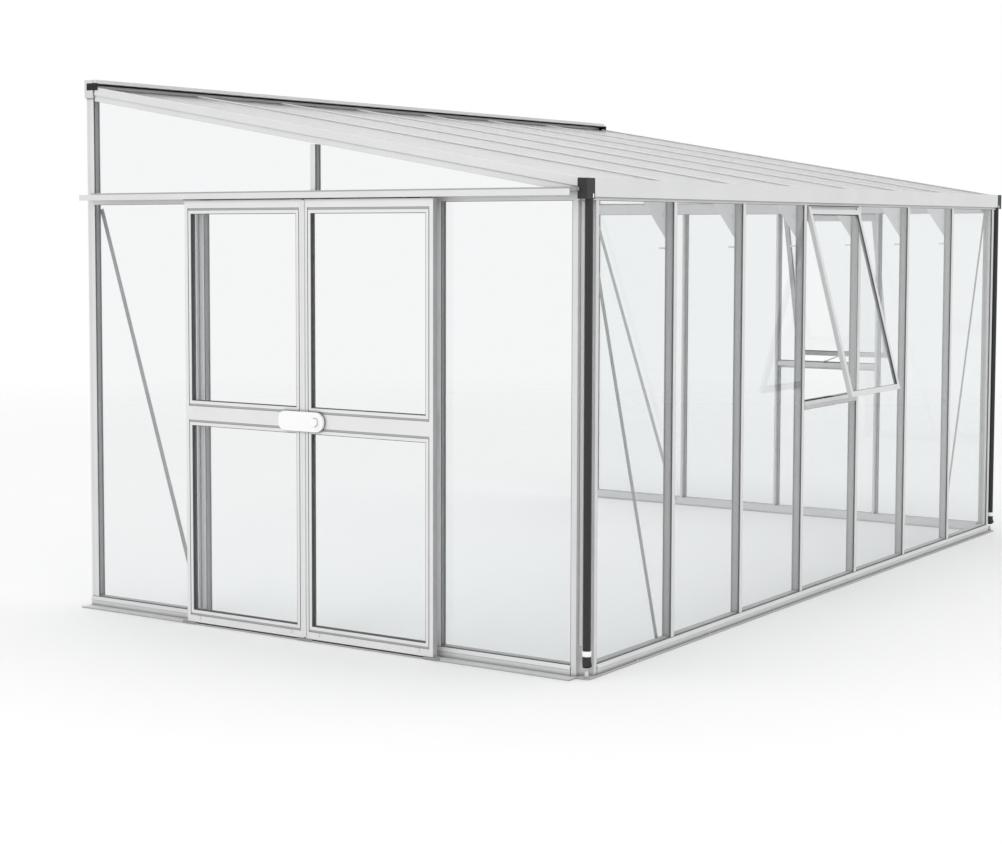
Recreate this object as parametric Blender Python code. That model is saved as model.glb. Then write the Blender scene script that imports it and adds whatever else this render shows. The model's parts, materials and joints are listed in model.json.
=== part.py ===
"""Lean-to greenhouse: aluminium glazing bars, glass, two sliding door leaves and two top-hung vents.

X runs along the eave from the door gable to the far gable, Y runs from the eave towards the
house wall, and Z is up from the ground. Lengths are in metres. Sections are drawn with their
first number across the bar and their second number in from the outer face of the glass.
"""
import math

import bmesh
import bpy
from mathutils import Matrix, Vector

# Bays and plan
BAY = 0.635
EAVE_BAYS = 7
GABLE_BAYS = 4
CORNER = 0.0575
LENGTH = 2 * CORNER + EAVE_BAYS * BAY
DEPTH = CORNER + GABLE_BAYS * BAY
WALL_FLANGE = 0.0325
WALL_Y = DEPTH + WALL_FLANGE

# Levels and roof slope
EAVE_TOP = 1.838
HEADER_BOTTOM = 1.856
HEADER_HEIGHT = 0.025
GUTTER_BOTTOM = 1.850
GUTTER_TOP = 1.921
ROOF_AT_EAVE = 1.913
ROOF_ANGLE = math.radians(9.86)

# Running gaps
SEAT_GAP = 0.0003
RUNNING_GAP = 0.005

# Glazing bars
GLASS = 0.004
CAP_WIDTH = 0.025
CAP_THICKNESS = 0.0047
CAP_CHAMFER = 0.0025
CAP_CHAMFER_DEPTH = 0.0015
NECK_WIDTH = 0.006
SEAT_THICKNESS = 0.003
WEB_THICKNESS = 0.0036
BAR_DEPTH = 0.0445
BEAD_WIDTH = 0.012
BEAD_THICKNESS = 0.003
PANE_SIDE_GAP = 0.004
SHEET = 0.003

# Base rails
BASE_FOOT = 0.021
BASE_RECESS = 0.006
BASE_NOSE = 0.009
BASE_NOSE_LEVEL = 0.028
BASE_TOP_LIP = 0.004
BASE_FLANGE = 0.004
FOOT_BEAD = 0.002
FOOT_BEAD_RISE = 0.0015
BASE_DEPTH = 0.045
BASE_HEIGHT = 0.046
BASE_LIP_DROP = 0.002
GLASS_FOOT_DROP = 0.012
CORNER_PLATE_RADIUS = 0.018

# Corner posts
NOTCH = 0.045
NOTCH_CHAMFER = 0.029

# Gutter and downpipes
GUTTER_FRONT = 0.016
GUTTER_BACK = 0.040
END_CAP_LENGTH = 0.060
END_CAP_DEPTH = 0.042
END_CAP_DROP = 0.008
END_CAP_INSET = 0.0163
PIPE_DIAMETER = 0.031
PIPE_FOOT = 0.098
NOZZLE_DIAMETER = 0.034
NOZZLE_FOOT = 0.052

# Roof edge
ROOF_START = -0.008
WALL_PLATE_FACE = DEPTH - 0.020
PLATE_DROP = 0.044
PLATE_RISE = 0.038
PLATE_FLANGE_REACH = 0.0175
PLATE_FLANGE = 0.016
PLATE_LEDGE = 0.024
PLATE_BACK_DEPTH = 0.025
RAFTER_OUT = 0.012
RAFTER_DEPTH = 0.060
RAFTER_CAP_TOP = 0.034
RAFTER_CAP_BOTTOM = 0.056
ROOF_OVERHANG = 0.012

# Bracing
GUSSET_REACH = 0.150
GUSSET_DROP = 0.150
GUSSET_THICKNESS = 0.003
BRACE_WIDTH = 0.020
BRACE_THICKNESS = 0.003
BRACE_END_INSET = 0.020
BRACE_FOOT_STEP = 0.045
BRACE_FOOT_OVERLAP = 0.016

# Sliding doors
WALL_JAMB_STEP = 0.0175
LEAF_WIDTH = 0.652
LEAF_GAP = 0.007
LEAF_THICKNESS = 0.030
LEAF_FRONT = 0.070
LEAF_BOTTOM = 0.012
STILE = 0.035
TOP_RAIL = 0.057
BOTTOM_RAIL = 0.053
MID_RAIL = 0.107
MID_RAIL_LEVEL = 0.931
RING_INSET = 0.0135
RING_DEPTH = 0.003
RING_SIDE_WIDTH = 0.0035
RING_LEVEL_WIDTH = 0.010
RAIL_OUT = 0.078
RAIL_LIP = 0.018
HEADER_LIP = 0.008
FAR_BEAM_DROP = 0.018
UPPER_PANE_TIP = 0.0125
RAIL_WALL_END = DEPTH + 0.010
TRACK_OUT = 0.070
TRACK_START = 0.037
HANGER_WIDTH = 0.060
HANGER_THICKNESS = 0.004
HANGER_INSET = 0.110
WHEEL_DIAMETER = 0.014
WHEEL_WIDTH = 0.011
AXLE_DIAMETER = 0.006

# Door latch
LATCH_LENGTH = 0.236
LATCH_HEIGHT = 0.082
LATCH_THICKNESS = 0.012
LATCH_TIP_RADIUS = 0.032
LATCH_END_RADIUS = 0.040
LATCH_PIVOT_IN = 0.068
KNOB_DIAMETER = 0.034
KNOB_LENGTH = 0.012
BOSS_DIAMETER = 0.074

# Vents
VENT_SIDE_GAP = 0.025
EAVE_VENT_BAY = (EAVE_BAYS + 1) // 2
FAR_VENT_BAY = GABLE_BAYS // 2
VENT_ANGLE = math.radians(14.6)
VENT_THICKNESS = 0.020
VENT_BAR = 0.025
VENT_TOP_BAR = 0.042
VENT_GROOVE_DROP = 0.008
VENT_GROOVE_WIDTH = 0.011
VENT_GROOVE_DEPTH = 0.004
SILL_TOP = 0.930
SILL_HEIGHT = 0.037
SILL_GAP = 0.0025
SILL_BACK = 0.025
SILL_GROOVE = 0.0125

FLAT_ANGLE = math.radians(0.05)
SLIVER_AREA = 1e-8
WELD_DISTANCE = 0.00001
GLASS_FOOT = BASE_HEIGHT - GLASS_FOOT_DROP
WALL_PLATE_BOTTOM = ROOF_AT_EAVE + WALL_PLATE_FACE * math.tan(ROOF_ANGLE) - PLATE_DROP
WALL_PLATE_TOP = WALL_PLATE_BOTTOM + PLATE_DROP + PLATE_RISE
HEADER_TOP = HEADER_BOTTOM + HEADER_HEIGHT
FAR_BEAM_BOTTOM = EAVE_TOP - FAR_BEAM_DROP
WALL_JAMB = CORNER + (GABLE_BAYS - 1) * BAY - WALL_JAMB_STEP
CAP_BACK = -SEAT_GAP
CAP_FACE = -SEAT_GAP - CAP_THICKNESS
CAP_SHOULDER = CAP_FACE + CAP_CHAMFER_DEPTH
SEAT_FRONT = GLASS + SEAT_GAP
SEAT_BACK = SEAT_FRONT + SEAT_THICKNESS
X_AXIS = Vector((1, 0, 0))
Y_AXIS = Vector((0, 1, 0))
Z_AXIS = Vector((0, 0, 1))
SLOPE = Vector((0, math.cos(ROOF_ANGLE), math.sin(ROOF_ANGLE)))
ROOF_DOWN = Vector((0, math.sin(ROOF_ANGLE), -math.cos(ROOF_ANGLE)))


def remove_old_objects():
    """Empty the file, so that the model is built from nothing."""
    for old in list(bpy.data.objects):
        bpy.data.objects.remove(old, do_unlink=True)


def new_collection(name):
    """Make a collection in the scene."""
    collection = bpy.data.collections.new(name)
    bpy.context.scene.collection.children.link(collection)
    return collection


def new_material(name, colour, roughness, metallic, alpha=1.0):
    """Make a plain Principled material."""
    material = bpy.data.materials.new(name)
    material.use_nodes = True
    shader = material.node_tree.nodes["Principled BSDF"]
    shader.inputs["Base Color"].default_value = (*colour, 1.0)
    shader.inputs["Roughness"].default_value = roughness
    shader.inputs["Metallic"].default_value = metallic
    shader.inputs["Alpha"].default_value = alpha
    material.diffuse_color = (*colour, alpha)
    return material


remove_old_objects()
PARTS = new_collection("lean_to_greenhouse")
CUTTERS = new_collection("cutters")
ALUMINIUM = new_material("frame_aluminium", (0.72, 0.73, 0.73), 0.42, 0.6)
CLEAR_GLASS = new_material("clear_glass", (0.86, 0.92, 0.90), 0.03, 0.0, 0.25)
BLACK_PLASTIC = new_material("black_plastic", (0.05, 0.05, 0.05), 0.5, 0.0)
WHITE_PLASTIC = new_material("white_plastic", (0.93, 0.93, 0.93), 0.35, 0.0)
ORIGIN = bpy.data.objects.new("greenhouse_origin", None)
PARTS.objects.link(ORIGIN)


def placement(origin, across, inward):
    """Matrix whose local X and Y are the two section directions."""
    across = Vector(across).normalized()
    inward = Vector(inward).normalized()
    along = across.cross(inward)
    matrix = Matrix((across, inward, along)).transposed().to_4x4()
    matrix.translation = Vector(origin)
    return matrix


def extruded(name, outlines, thickness, origin, across, inward, material, collection=PARTS):
    """Flat outline, with any holes, extruded evenly to both sides of its own plane."""
    curve = bpy.data.curves.new(name, "CURVE")
    curve.dimensions = "2D"
    curve.fill_mode = "BOTH"
    curve.extrude = thickness / 2
    for outline in outlines:
        spline = curve.splines.new("POLY")
        spline.points.add(len(outline) - 1)
        for point, (first, second) in zip(spline.points, outline):
            point.co = (first, second, 0.0, 1.0)
        spline.use_cyclic_u = True
    part = bpy.data.objects.new(name, curve)
    part.matrix_world = placement(origin, across, inward)
    curve.materials.append(material)
    collection.objects.link(part)
    return part


def as_mesh(part):
    """Replace a curve object by a welded mesh at the same place, ready for a Boolean."""
    bpy.context.view_layer.update()
    graph = bpy.context.evaluated_depsgraph_get()
    mesh = bpy.data.meshes.new_from_object(part.evaluated_get(graph))
    shape = bmesh.new()
    shape.from_mesh(mesh)
    bmesh.ops.remove_doubles(shape, verts=shape.verts, dist=WELD_DISTANCE)
    slivers = [face for face in shape.faces if face.calc_area() < SLIVER_AREA]
    longest = {max(face.edges, key=lambda edge: edge.calc_length()) for face in slivers}
    bmesh.ops.dissolve_edges(shape, edges=list(longest))
    bmesh.ops.dissolve_limit(shape, angle_limit=FLAT_ANGLE, edges=shape.edges)
    bmesh.ops.recalc_face_normals(shape, faces=shape.faces)
    shape.to_mesh(mesh)
    shape.free()
    name = part.name
    matrix = part.matrix_world.copy()
    collection = part.users_collection[0]
    bpy.data.objects.remove(part, do_unlink=True)
    solid = bpy.data.objects.new(name, mesh)
    solid.matrix_world = matrix
    collection.objects.link(solid)
    return solid


def box(name, low, high, material, collection=PARTS):
    """Rectangular block between two corners."""
    mesh = bpy.data.meshes.new(name)
    shape = bmesh.new()
    bmesh.ops.create_cube(shape, size=1.0)
    size = [b - a for a, b in zip(low, high)]
    bmesh.ops.scale(shape, vec=size, verts=shape.verts)
    shape.to_mesh(mesh)
    shape.free()
    mesh.materials.append(material)
    block = bpy.data.objects.new(name, mesh)
    block.location = [(a + b) / 2 for a, b in zip(low, high)]
    collection.objects.link(block)
    return block


def cylinder(name, centre, axis, diameter, length, material, collection=PARTS, sides=24):
    """Round bar about a centre point."""
    mesh = bpy.data.meshes.new(name)
    shape = bmesh.new()
    bmesh.ops.create_cone(
        shape, cap_ends=True, segments=sides, radius1=diameter / 2, radius2=diameter / 2, depth=length
    )
    shape.to_mesh(mesh)
    shape.free()
    mesh.materials.append(material)
    bar = bpy.data.objects.new(name, mesh)
    bar.matrix_world = Matrix.Translation(centre) @ axis.to_track_quat("Z", "Y").to_matrix().to_4x4()
    collection.objects.link(bar)
    return bar


def combine(target, tool, operation):
    """Join or cut a mesh with another one, which then stays as a hidden guide."""
    modifier = target.modifiers.new(tool.name, "BOOLEAN")
    modifier.operation = operation
    modifier.object = tool
    tool.hide_render = True
    tool.display_type = "WIRE"


def parented(*parts, parent=ORIGIN):
    """Hang finished parts on the building's origin, or on another empty."""
    for part in parts:
        part.parent = parent


def bar_section(bead=True):
    """Glazing bar: outer cap, neck between two panes, inner seat, web and inner bead."""
    half_cap = CAP_WIDTH / 2
    half_neck = NECK_WIDTH / 2
    half_web = WEB_THICKNESS / 2
    half = [
        (half_cap - CAP_CHAMFER, CAP_FACE),
        (half_cap, CAP_SHOULDER),
        (half_cap, CAP_BACK),
        (half_neck, CAP_BACK),
        (half_neck, SEAT_FRONT),
        (half_cap, SEAT_FRONT),
        (half_cap, SEAT_BACK),
        (half_web, SEAT_BACK),
    ]
    if bead:
        half += [
            (half_web, BAR_DEPTH - BEAD_THICKNESS),
            (BEAD_WIDTH / 2, BAR_DEPTH - BEAD_THICKNESS),
            (BEAD_WIDTH / 2, BAR_DEPTH),
        ]
    else:
        half.append((half_web, BAR_DEPTH))
    return half + [(-across, inward) for across, inward in reversed(half)]


def base_section(foot):
    """Base rail: beaded foot flange, sloping outer face, groove for the glass, and a hollow inner box."""
    inner = SEAT_BACK
    lip = BASE_HEIGHT - BASE_LIP_DROP
    bead_top = BASE_FLANGE + FOOT_BEAD_RISE
    return [
        (-foot, 0.0),
        (-foot, bead_top),
        (FOOT_BEAD - foot, bead_top),
        (FOOT_BEAD - foot, BASE_FLANGE),
        (-BASE_RECESS, BASE_FLANGE),
        (-BASE_RECESS, BASE_NOSE_LEVEL),
        (-BASE_NOSE, BASE_NOSE_LEVEL),
        (-BASE_TOP_LIP, lip),
        (CAP_BACK, lip),
        (CAP_BACK, GLASS_FOOT),
        (SEAT_FRONT, GLASS_FOOT),
        (SEAT_FRONT, BASE_HEIGHT),
        (BASE_DEPTH, BASE_HEIGHT),
        (BASE_DEPTH, 0.0),
        (BASE_DEPTH - SHEET, 0.0),
        (BASE_DEPTH - SHEET, BASE_HEIGHT - SHEET),
        (inner, BASE_HEIGHT - SHEET),
        (inner, GLASS_FOOT - SHEET),
        (SHEET - BASE_RECESS, GLASS_FOOT - SHEET),
        (SHEET - BASE_RECESS, 0.0),
    ]


def roof_height(y):
    """Height of the roof glass's outer face at a distance from the eave."""
    return ROOF_AT_EAVE + y * math.tan(ROOF_ANGLE)


def below_roof(y, depth):
    """Height of a line that runs under the roof glass, at a depth square to the slope."""
    return roof_height(y) - depth / math.cos(ROOF_ANGLE)


def bay_edge(index):
    """Middle of the glazing bar between bays, counted from the corner."""
    return CORNER + index * BAY


def base_rails():
    """The three rails that the walls stand on; the one under the doors carries their track."""
    plate_edge = CORNER + CAP_WIDTH / 2
    start = plate_edge + SEAT_GAP
    eave_length = LENGTH - 2 * start
    eave = extruded(
        "base_rail_eave", [base_section(BASE_FOOT)], eave_length, (LENGTH / 2, 0, 0), Y_AXIS, Z_AXIS, ALUMINIUM
    )
    gable_length = WALL_Y - start
    middle = (WALL_Y + start) / 2
    far = extruded(
        "base_rail_far_end", [base_section(BASE_FOOT)], gable_length, (LENGTH, middle, 0), -X_AXIS, Z_AXIS, ALUMINIUM
    )
    door = extruded(
        "base_rail_door_end", [base_section(TRACK_OUT)], gable_length, (0, middle, 0), X_AXIS, Z_AXIS, ALUMINIUM
    )
    door = as_mesh(door)
    track_end = box(
        "track_end",
        (-TRACK_OUT, TRACK_START, 0),
        (-BASE_FOOT - SEAT_GAP, start + HANGER_WIDTH, BASE_FLANGE),
        ALUMINIUM,
        CUTTERS,
    )
    combine(door, track_end, "UNION")
    parented(eave, far, door, track_end)


def corner_section():
    """Corner post in plan: two caps and seats, joined by a wall that steps in round the notch."""
    outer = CORNER + CAP_WIDTH / 2
    neck = CORNER + NECK_WIDTH / 2
    inside = NOTCH + SHEET
    chamfer = NOTCH_CHAMFER + SHEET * (1 - math.tan(math.radians(22.5)))
    gable_side = [
        (CAP_FACE, NOTCH),
        (CAP_FACE, outer - CAP_CHAMFER),
        (CAP_SHOULDER, outer),
        (CAP_BACK, outer),
        (CAP_BACK, neck),
        (SEAT_FRONT, neck),
        (SEAT_FRONT, outer),
        (SEAT_BACK, outer),
        (SEAT_BACK, inside),
        (inside - chamfer + SHEET, inside),
    ]
    eave_side = [(second, first) for first, second in reversed(gable_side)]
    notch = [(NOTCH, NOTCH - NOTCH_CHAMFER), (NOTCH - NOTCH_CHAMFER, NOTCH)]
    return gable_side + eave_side + notch


def corner_plate():
    """Foot plate under a corner post, with its outer corner rounded."""
    reach = CORNER + CAP_WIDTH / 2
    centre = CORNER_PLATE_RADIUS - BASE_FOOT
    arc = []
    for step in range(7):
        angle = math.radians(180 + 15 * step)
        arc.append((centre + CORNER_PLATE_RADIUS * math.cos(angle), centre + CORNER_PLATE_RADIUS * math.sin(angle)))
    return arc + [(reach, -BASE_FOOT), (reach, reach), (-BASE_FOOT, reach)]


def corner_posts():
    """The two posts at the eave corners, each on its foot plate."""
    for name, place, across, inward in (
        ("corner_post_door_end", 0.0, X_AXIS, Y_AXIS),
        ("corner_post_far_end", LENGTH, Y_AXIS, -X_AXIS),
    ):
        overlap = BASE_FLANGE / 2
        height = EAVE_TOP - SEAT_GAP - overlap
        post = extruded(
            name, [corner_section()], height, (place, 0, overlap + height / 2), across, inward, ALUMINIUM
        )
        post = as_mesh(post)
        plate = extruded(
            name + "_plate",
            [corner_plate()],
            BASE_FLANGE,
            (place, 0, BASE_FLANGE / 2),
            across,
            inward,
            ALUMINIUM,
            CUTTERS,
        )
        plate = as_mesh(plate)
        combine(post, plate, "UNION")
        parented(post, plate)


def wall_posts():
    """The posts against the house wall: a glazing bar with a flange whose plate lies on the wall."""
    half = CAP_WIDTH / 2
    half_web = WEB_THICKNESS / 2
    bead = BEAD_WIDTH / 2
    bead_front = BAR_DEPTH - BEAD_THICKNESS
    section = [
        (-half, CAP_SHOULDER),
        (CAP_CHAMFER - half, CAP_FACE),
        (half - CAP_CHAMFER, CAP_FACE),
        (half, CAP_SHOULDER),
        (half, CAP_BACK),
        (WALL_FLANGE, CAP_BACK),
        (WALL_FLANGE, BASE_DEPTH),
        (WALL_FLANGE - SHEET, BASE_DEPTH),
        (WALL_FLANGE - SHEET, SEAT_BACK),
        (half_web, SEAT_BACK),
        (half_web, bead_front),
        (bead, bead_front),
        (bead, BAR_DEPTH),
        (-bead, BAR_DEPTH),
        (-bead, bead_front),
        (-half_web, bead_front),
        (-half_web, SEAT_BACK),
        (-half, SEAT_BACK),
        (-half, SEAT_FRONT),
        (-NECK_WIDTH / 2, SEAT_FRONT),
        (-NECK_WIDTH / 2, CAP_BACK),
        (-half, CAP_BACK),
    ]
    mirrored = [(-across, inward) for across, inward in reversed(section)]
    foot = BASE_HEIGHT + SEAT_GAP
    top = WALL_PLATE_BOTTOM - SEAT_GAP
    middle = (foot + top) / 2
    door = extruded(
        "wall_post_door_end", [mirrored], top - foot, (0, DEPTH, middle), -Y_AXIS, X_AXIS, ALUMINIUM
    )
    far = extruded("wall_post_far_end", [section], top - foot, (LENGTH, DEPTH, middle), Y_AXIS, -X_AXIS, ALUMINIUM)
    parented(door, far)


def eave_posts():
    """Six posts along the eave, each with a gusset plate that reaches up beside its roof bar."""
    foot = BASE_HEIGHT + SEAT_GAP
    top = EAVE_TOP - SEAT_GAP
    side = WEB_THICKNESS / 2 + SEAT_GAP
    back = GUTTER_BACK + 2 * SEAT_GAP
    front = SEAT_BACK + SHEET
    clear = SEAT_BACK + 4 * SEAT_GAP
    for index in range(1, EAVE_BAYS):
        name = "eave_post_%d" % index
        place = bay_edge(index)
        post = extruded(
            name, [bar_section()], top - foot, (place, 0, (foot + top) / 2), X_AXIS, Y_AXIS, ALUMINIUM
        )
        post = as_mesh(post)
        outline = [
            (front, EAVE_TOP - GUSSET_DROP),
            (BAR_DEPTH + SHEET, EAVE_TOP - GUSSET_DROP),
            (BAR_DEPTH + GUSSET_REACH, below_roof(BAR_DEPTH + GUSSET_REACH, BAR_DEPTH - SHEET)),
            (BAR_DEPTH + GUSSET_REACH, below_roof(BAR_DEPTH + GUSSET_REACH, clear)),
            (back, below_roof(back, clear)),
            (back, top - SHEET),
            (front, top - SHEET),
        ]
        gusset = extruded(
            name + "_gusset",
            [outline],
            GUSSET_THICKNESS,
            (place + side + GUSSET_THICKNESS / 2, 0, 0),
            Y_AXIS,
            Z_AXIS,
            ALUMINIUM,
            CUTTERS,
        )
        gusset = as_mesh(gusset)
        packer = box(
            name + "_packer",
            (place, front, EAVE_TOP - GUSSET_DROP),
            (place + side + GUSSET_THICKNESS, BAR_DEPTH - BEAD_THICKNESS / 2, top - SHEET),
            ALUMINIUM,
            CUTTERS,
        )
        combine(post, gusset, "UNION")
        combine(post, packer, "UNION")
        parented(post, gusset, packer)


def gable_posts():
    """Posts of the door opening, and the three posts of the far gable."""
    foot = BASE_HEIGHT + SEAT_GAP
    door_top = EAVE_TOP - SEAT_GAP
    for name, place in (("door_jamb_corner_side", bay_edge(1)), ("door_jamb_wall_side", WALL_JAMB)):
        jamb = extruded(
            name,
            [bar_section()],
            door_top - foot,
            (0, place, (foot + door_top) / 2),
            -Y_AXIS,
            X_AXIS,
            ALUMINIUM,
        )
        parented(jamb)
    far_top = FAR_BEAM_BOTTOM - SEAT_GAP
    for index in range(1, GABLE_BAYS):
        post = extruded(
            "far_end_post_%d" % index,
            [bar_section()],
            far_top - foot,
            (LENGTH, bay_edge(index), (foot + far_top) / 2),
            Y_AXIS,
            -X_AXIS,
            ALUMINIUM,
        )
        parented(post)


def upper_bar(name, place, across, inward, foot):
    """Short glazing bar in the middle of a gable, from the header up to the end rafter."""
    middle = bay_edge(GABLE_BAYS // 2)
    top = below_roof(middle - CAP_WIDTH / 2, RAFTER_DEPTH) - SEAT_GAP
    bar = extruded(
        name, [bar_section()], top - foot, (place, middle, (foot + top) / 2), across, inward, ALUMINIUM, CUTTERS
    )
    return as_mesh(bar)


def gable_beam_section(leg_foot, lip_foot):
    """Beam of a gable: a groove for the upper panes, an inner leg, and a groove for the lower panes."""
    lip = HEADER_TOP + HEADER_LIP
    groove_front = CAP_BACK - SEAT_GAP
    groove_back = SEAT_FRONT + SEAT_GAP
    lip_front = CAP_FACE + SEAT_GAP
    lip_back = SEAT_BACK - SEAT_GAP
    return [
        (lip_front, lip),
        (groove_front, lip),
        (groove_front, HEADER_TOP),
        (groove_back, HEADER_TOP),
        (groove_back, lip),
        (lip_back, lip),
        (lip_back, HEADER_TOP),
        (BASE_DEPTH, HEADER_TOP),
        (BASE_DEPTH, leg_foot),
        (BASE_DEPTH - SHEET, leg_foot),
        (BASE_DEPTH - SHEET, HEADER_TOP - SHEET),
        (lip_back, HEADER_TOP - SHEET),
        (lip_back, lip_foot),
        (groove_back, lip_foot),
        (groove_back, GUTTER_BOTTOM),
        (groove_front, GUTTER_BOTTOM),
        (groove_front, lip_foot),
        (lip_front, lip_foot),
    ]


def door_header():
    """Header over the doors: the beam that holds the glass, and the channel that the doors hang in."""
    bottom = HEADER_BOTTOM
    top = HEADER_TOP
    lip_front = CAP_FACE + SEAT_GAP
    section = [(-RAIL_OUT, bottom), (-RAIL_OUT, top), (lip_front, top)]
    section += gable_beam_section(bottom, EAVE_TOP)
    section += [
        (lip_front, top - SHEET),
        (SHEET - RAIL_OUT, top - SHEET),
        (SHEET - RAIL_OUT, bottom + SHEET),
        (RAIL_LIP - RAIL_OUT, bottom + SHEET),
        (RAIL_LIP - RAIL_OUT, bottom),
    ]
    start = GUTTER_BACK + SEAT_GAP
    header = extruded(
        "door_header_rail",
        [section],
        RAIL_WALL_END - start,
        (0, (RAIL_WALL_END + start) / 2, 0),
        X_AXIS,
        Z_AXIS,
        ALUMINIUM,
    )
    header = as_mesh(header)
    post_face = DEPTH - CAP_WIDTH / 2
    recess = box(
        "header_wall_recess",
        (CAP_FACE - SEAT_GAP, post_face - SEAT_GAP, EAVE_TOP - BASE_HEIGHT),
        (BASE_DEPTH * 2, WALL_Y, top + HEADER_LIP + BASE_HEIGHT),
        ALUMINIUM,
        CUTTERS,
    )
    middle_bar = upper_bar("door_end_upper_bar", 0, -Y_AXIS, X_AXIS, top - SHEET / 2)
    combine(header, recess, "DIFFERENCE")
    combine(header, middle_bar, "UNION")
    parented(header, recess, middle_bar)


def far_header():
    """Header of the far gable: the same beam with a deeper leg, cut away over the corner post."""
    start = GUTTER_BACK + SEAT_GAP
    end = DEPTH - CAP_WIDTH / 2 - SEAT_GAP
    section = gable_beam_section(FAR_BEAM_BOTTOM, FAR_BEAM_BOTTOM)
    header = extruded(
        "far_end_header", [section], end - start, (LENGTH, (start + end) / 2, 0), -X_AXIS, Z_AXIS, ALUMINIUM
    )
    header = as_mesh(header)
    post_edge = CORNER + CAP_WIDTH / 2
    recess = box(
        "far_header_corner_recess",
        (LENGTH - BASE_DEPTH * 2, 0, FAR_BEAM_BOTTOM - BASE_HEIGHT),
        (LENGTH + BASE_DEPTH, post_edge + SEAT_GAP, EAVE_TOP),
        ALUMINIUM,
        CUTTERS,
    )
    middle_bar = upper_bar("far_end_upper_bar", LENGTH, Y_AXIS, -X_AXIS, HEADER_TOP - SHEET / 2)
    combine(header, recess, "DIFFERENCE")
    combine(header, middle_bar, "UNION")
    parented(header, recess, middle_bar)


def gutter_and_pipes():
    """Gutter along the eave, which also holds the tops of the panes, and a downpipe at each end."""
    back_top = below_roof(GUTTER_BACK - SHEET / 2, BAR_DEPTH) - SEAT_GAP
    section = [
        (-GUTTER_FRONT, GUTTER_BOTTOM),
        (-GUTTER_FRONT, GUTTER_TOP),
        (SHEET - GUTTER_FRONT, GUTTER_TOP),
        (SHEET - GUTTER_FRONT, GUTTER_BOTTOM + SHEET),
        (GUTTER_BACK - SHEET, GUTTER_BOTTOM + SHEET),
        (GUTTER_BACK - SHEET, back_top),
        (GUTTER_BACK, back_top),
        (GUTTER_BACK, GUTTER_BOTTOM),
        (SEAT_BACK, GUTTER_BOTTOM),
        (SEAT_BACK, EAVE_TOP),
        (SEAT_FRONT, EAVE_TOP),
        (SEAT_FRONT, GUTTER_BOTTOM),
        (CAP_BACK, GUTTER_BOTTOM),
        (CAP_BACK, EAVE_TOP),
        (CAP_FACE, EAVE_TOP),
        (CAP_FACE, GUTTER_BOTTOM),
    ]
    gutter_end = END_CAP_INSET + SEAT_GAP
    gutter = extruded(
        "gutter", [section], LENGTH - 2 * gutter_end, (LENGTH / 2, 0, 0), Y_AXIS, Z_AXIS, ALUMINIUM
    )
    parented(gutter)
    cap_bottom = GUTTER_BOTTOM - END_CAP_DROP
    for name, place, side in (("downpipe_door_end", 0.0, 1), ("downpipe_far_end", LENGTH, -1)):
        inner = place + side * END_CAP_INSET
        outer = inner - side * END_CAP_LENGTH
        pipe_top = cap_bottom + END_CAP_DROP
        pipe = cylinder(
            name,
            (place, 0, (PIPE_FOOT + pipe_top) / 2),
            Z_AXIS,
            PIPE_DIAMETER,
            pipe_top - PIPE_FOOT,
            BLACK_PLASTIC,
        )
        cap = box(
            name + "_end_cap",
            (min(inner, outer), -GUTTER_FRONT, cap_bottom),
            (max(inner, outer), END_CAP_DEPTH - GUTTER_FRONT, GUTTER_TOP),
            BLACK_PLASTIC,
            CUTTERS,
        )
        nozzle_top = PIPE_FOOT + END_CAP_DROP
        nozzle = cylinder(
            name + "_nozzle",
            (place, 0, (NOZZLE_FOOT + nozzle_top) / 2),
            Z_AXIS,
            NOZZLE_DIAMETER,
            nozzle_top - NOZZLE_FOOT,
            BLACK_PLASTIC,
            CUTTERS,
        )
        combine(pipe, cap, "UNION")
        combine(pipe, nozzle, "UNION")
        parented(pipe, cap, nozzle)


def wall_plate():
    """Plate along the house wall: a ledge under the roof glass, a back on the wall and a top flange."""
    ledge = SEAT_FRONT + SEAT_GAP
    ledge_back = WALL_PLATE_FACE + PLATE_LEDGE
    flange_front = WALL_PLATE_FACE - PLATE_FLANGE_REACH
    flange_bottom = WALL_PLATE_TOP - PLATE_FLANGE
    cavity_top = WALL_PLATE_BOTTOM + PLATE_BACK_DEPTH
    section = [
        (WALL_PLATE_FACE, WALL_PLATE_BOTTOM),
        (WALL_PLATE_FACE, below_roof(WALL_PLATE_FACE, ledge)),
        (ledge_back, below_roof(ledge_back, ledge)),
        (ledge_back, flange_bottom),
        (flange_front, flange_bottom),
        (flange_front, WALL_PLATE_TOP),
        (WALL_Y, WALL_PLATE_TOP),
        (WALL_Y, WALL_PLATE_BOTTOM),
        (WALL_Y - SHEET, WALL_PLATE_BOTTOM),
        (WALL_Y - SHEET, cavity_top),
        (WALL_PLATE_FACE + SHEET, cavity_top),
        (WALL_PLATE_FACE + SHEET, WALL_PLATE_BOTTOM),
    ]
    plate = extruded(
        "wall_plate", [section], LENGTH + 2 * ROOF_OVERHANG, (LENGTH / 2, 0, 0), Y_AXIS, Z_AXIS, ALUMINIUM
    )
    parented(plate)


def slope_run(start, depth):
    """Length and middle of a roof member that starts at a distance from the eave.

    The member is cut square to the slope, so its lowest corner is the one that meets the wall plate.
    """
    end = WALL_PLATE_FACE - SEAT_GAP - depth * math.sin(ROOF_ANGLE)
    length = (end - start) / math.cos(ROOF_ANGLE)
    middle = (start + end) / 2
    return length, (middle, roof_height(middle))


def roof_bars():
    """Six glazing bars down the roof, one above each eave post."""
    length, (middle, height) = slope_run(ROOF_START, BAR_DEPTH)
    for index in range(1, EAVE_BAYS):
        bar = extruded(
            "roof_bar_%d" % index,
            [bar_section(bead=False)],
            length,
            (bay_edge(index), middle, height),
            X_AXIS,
            ROOF_DOWN,
            ALUMINIUM,
        )
        parented(bar)


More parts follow.
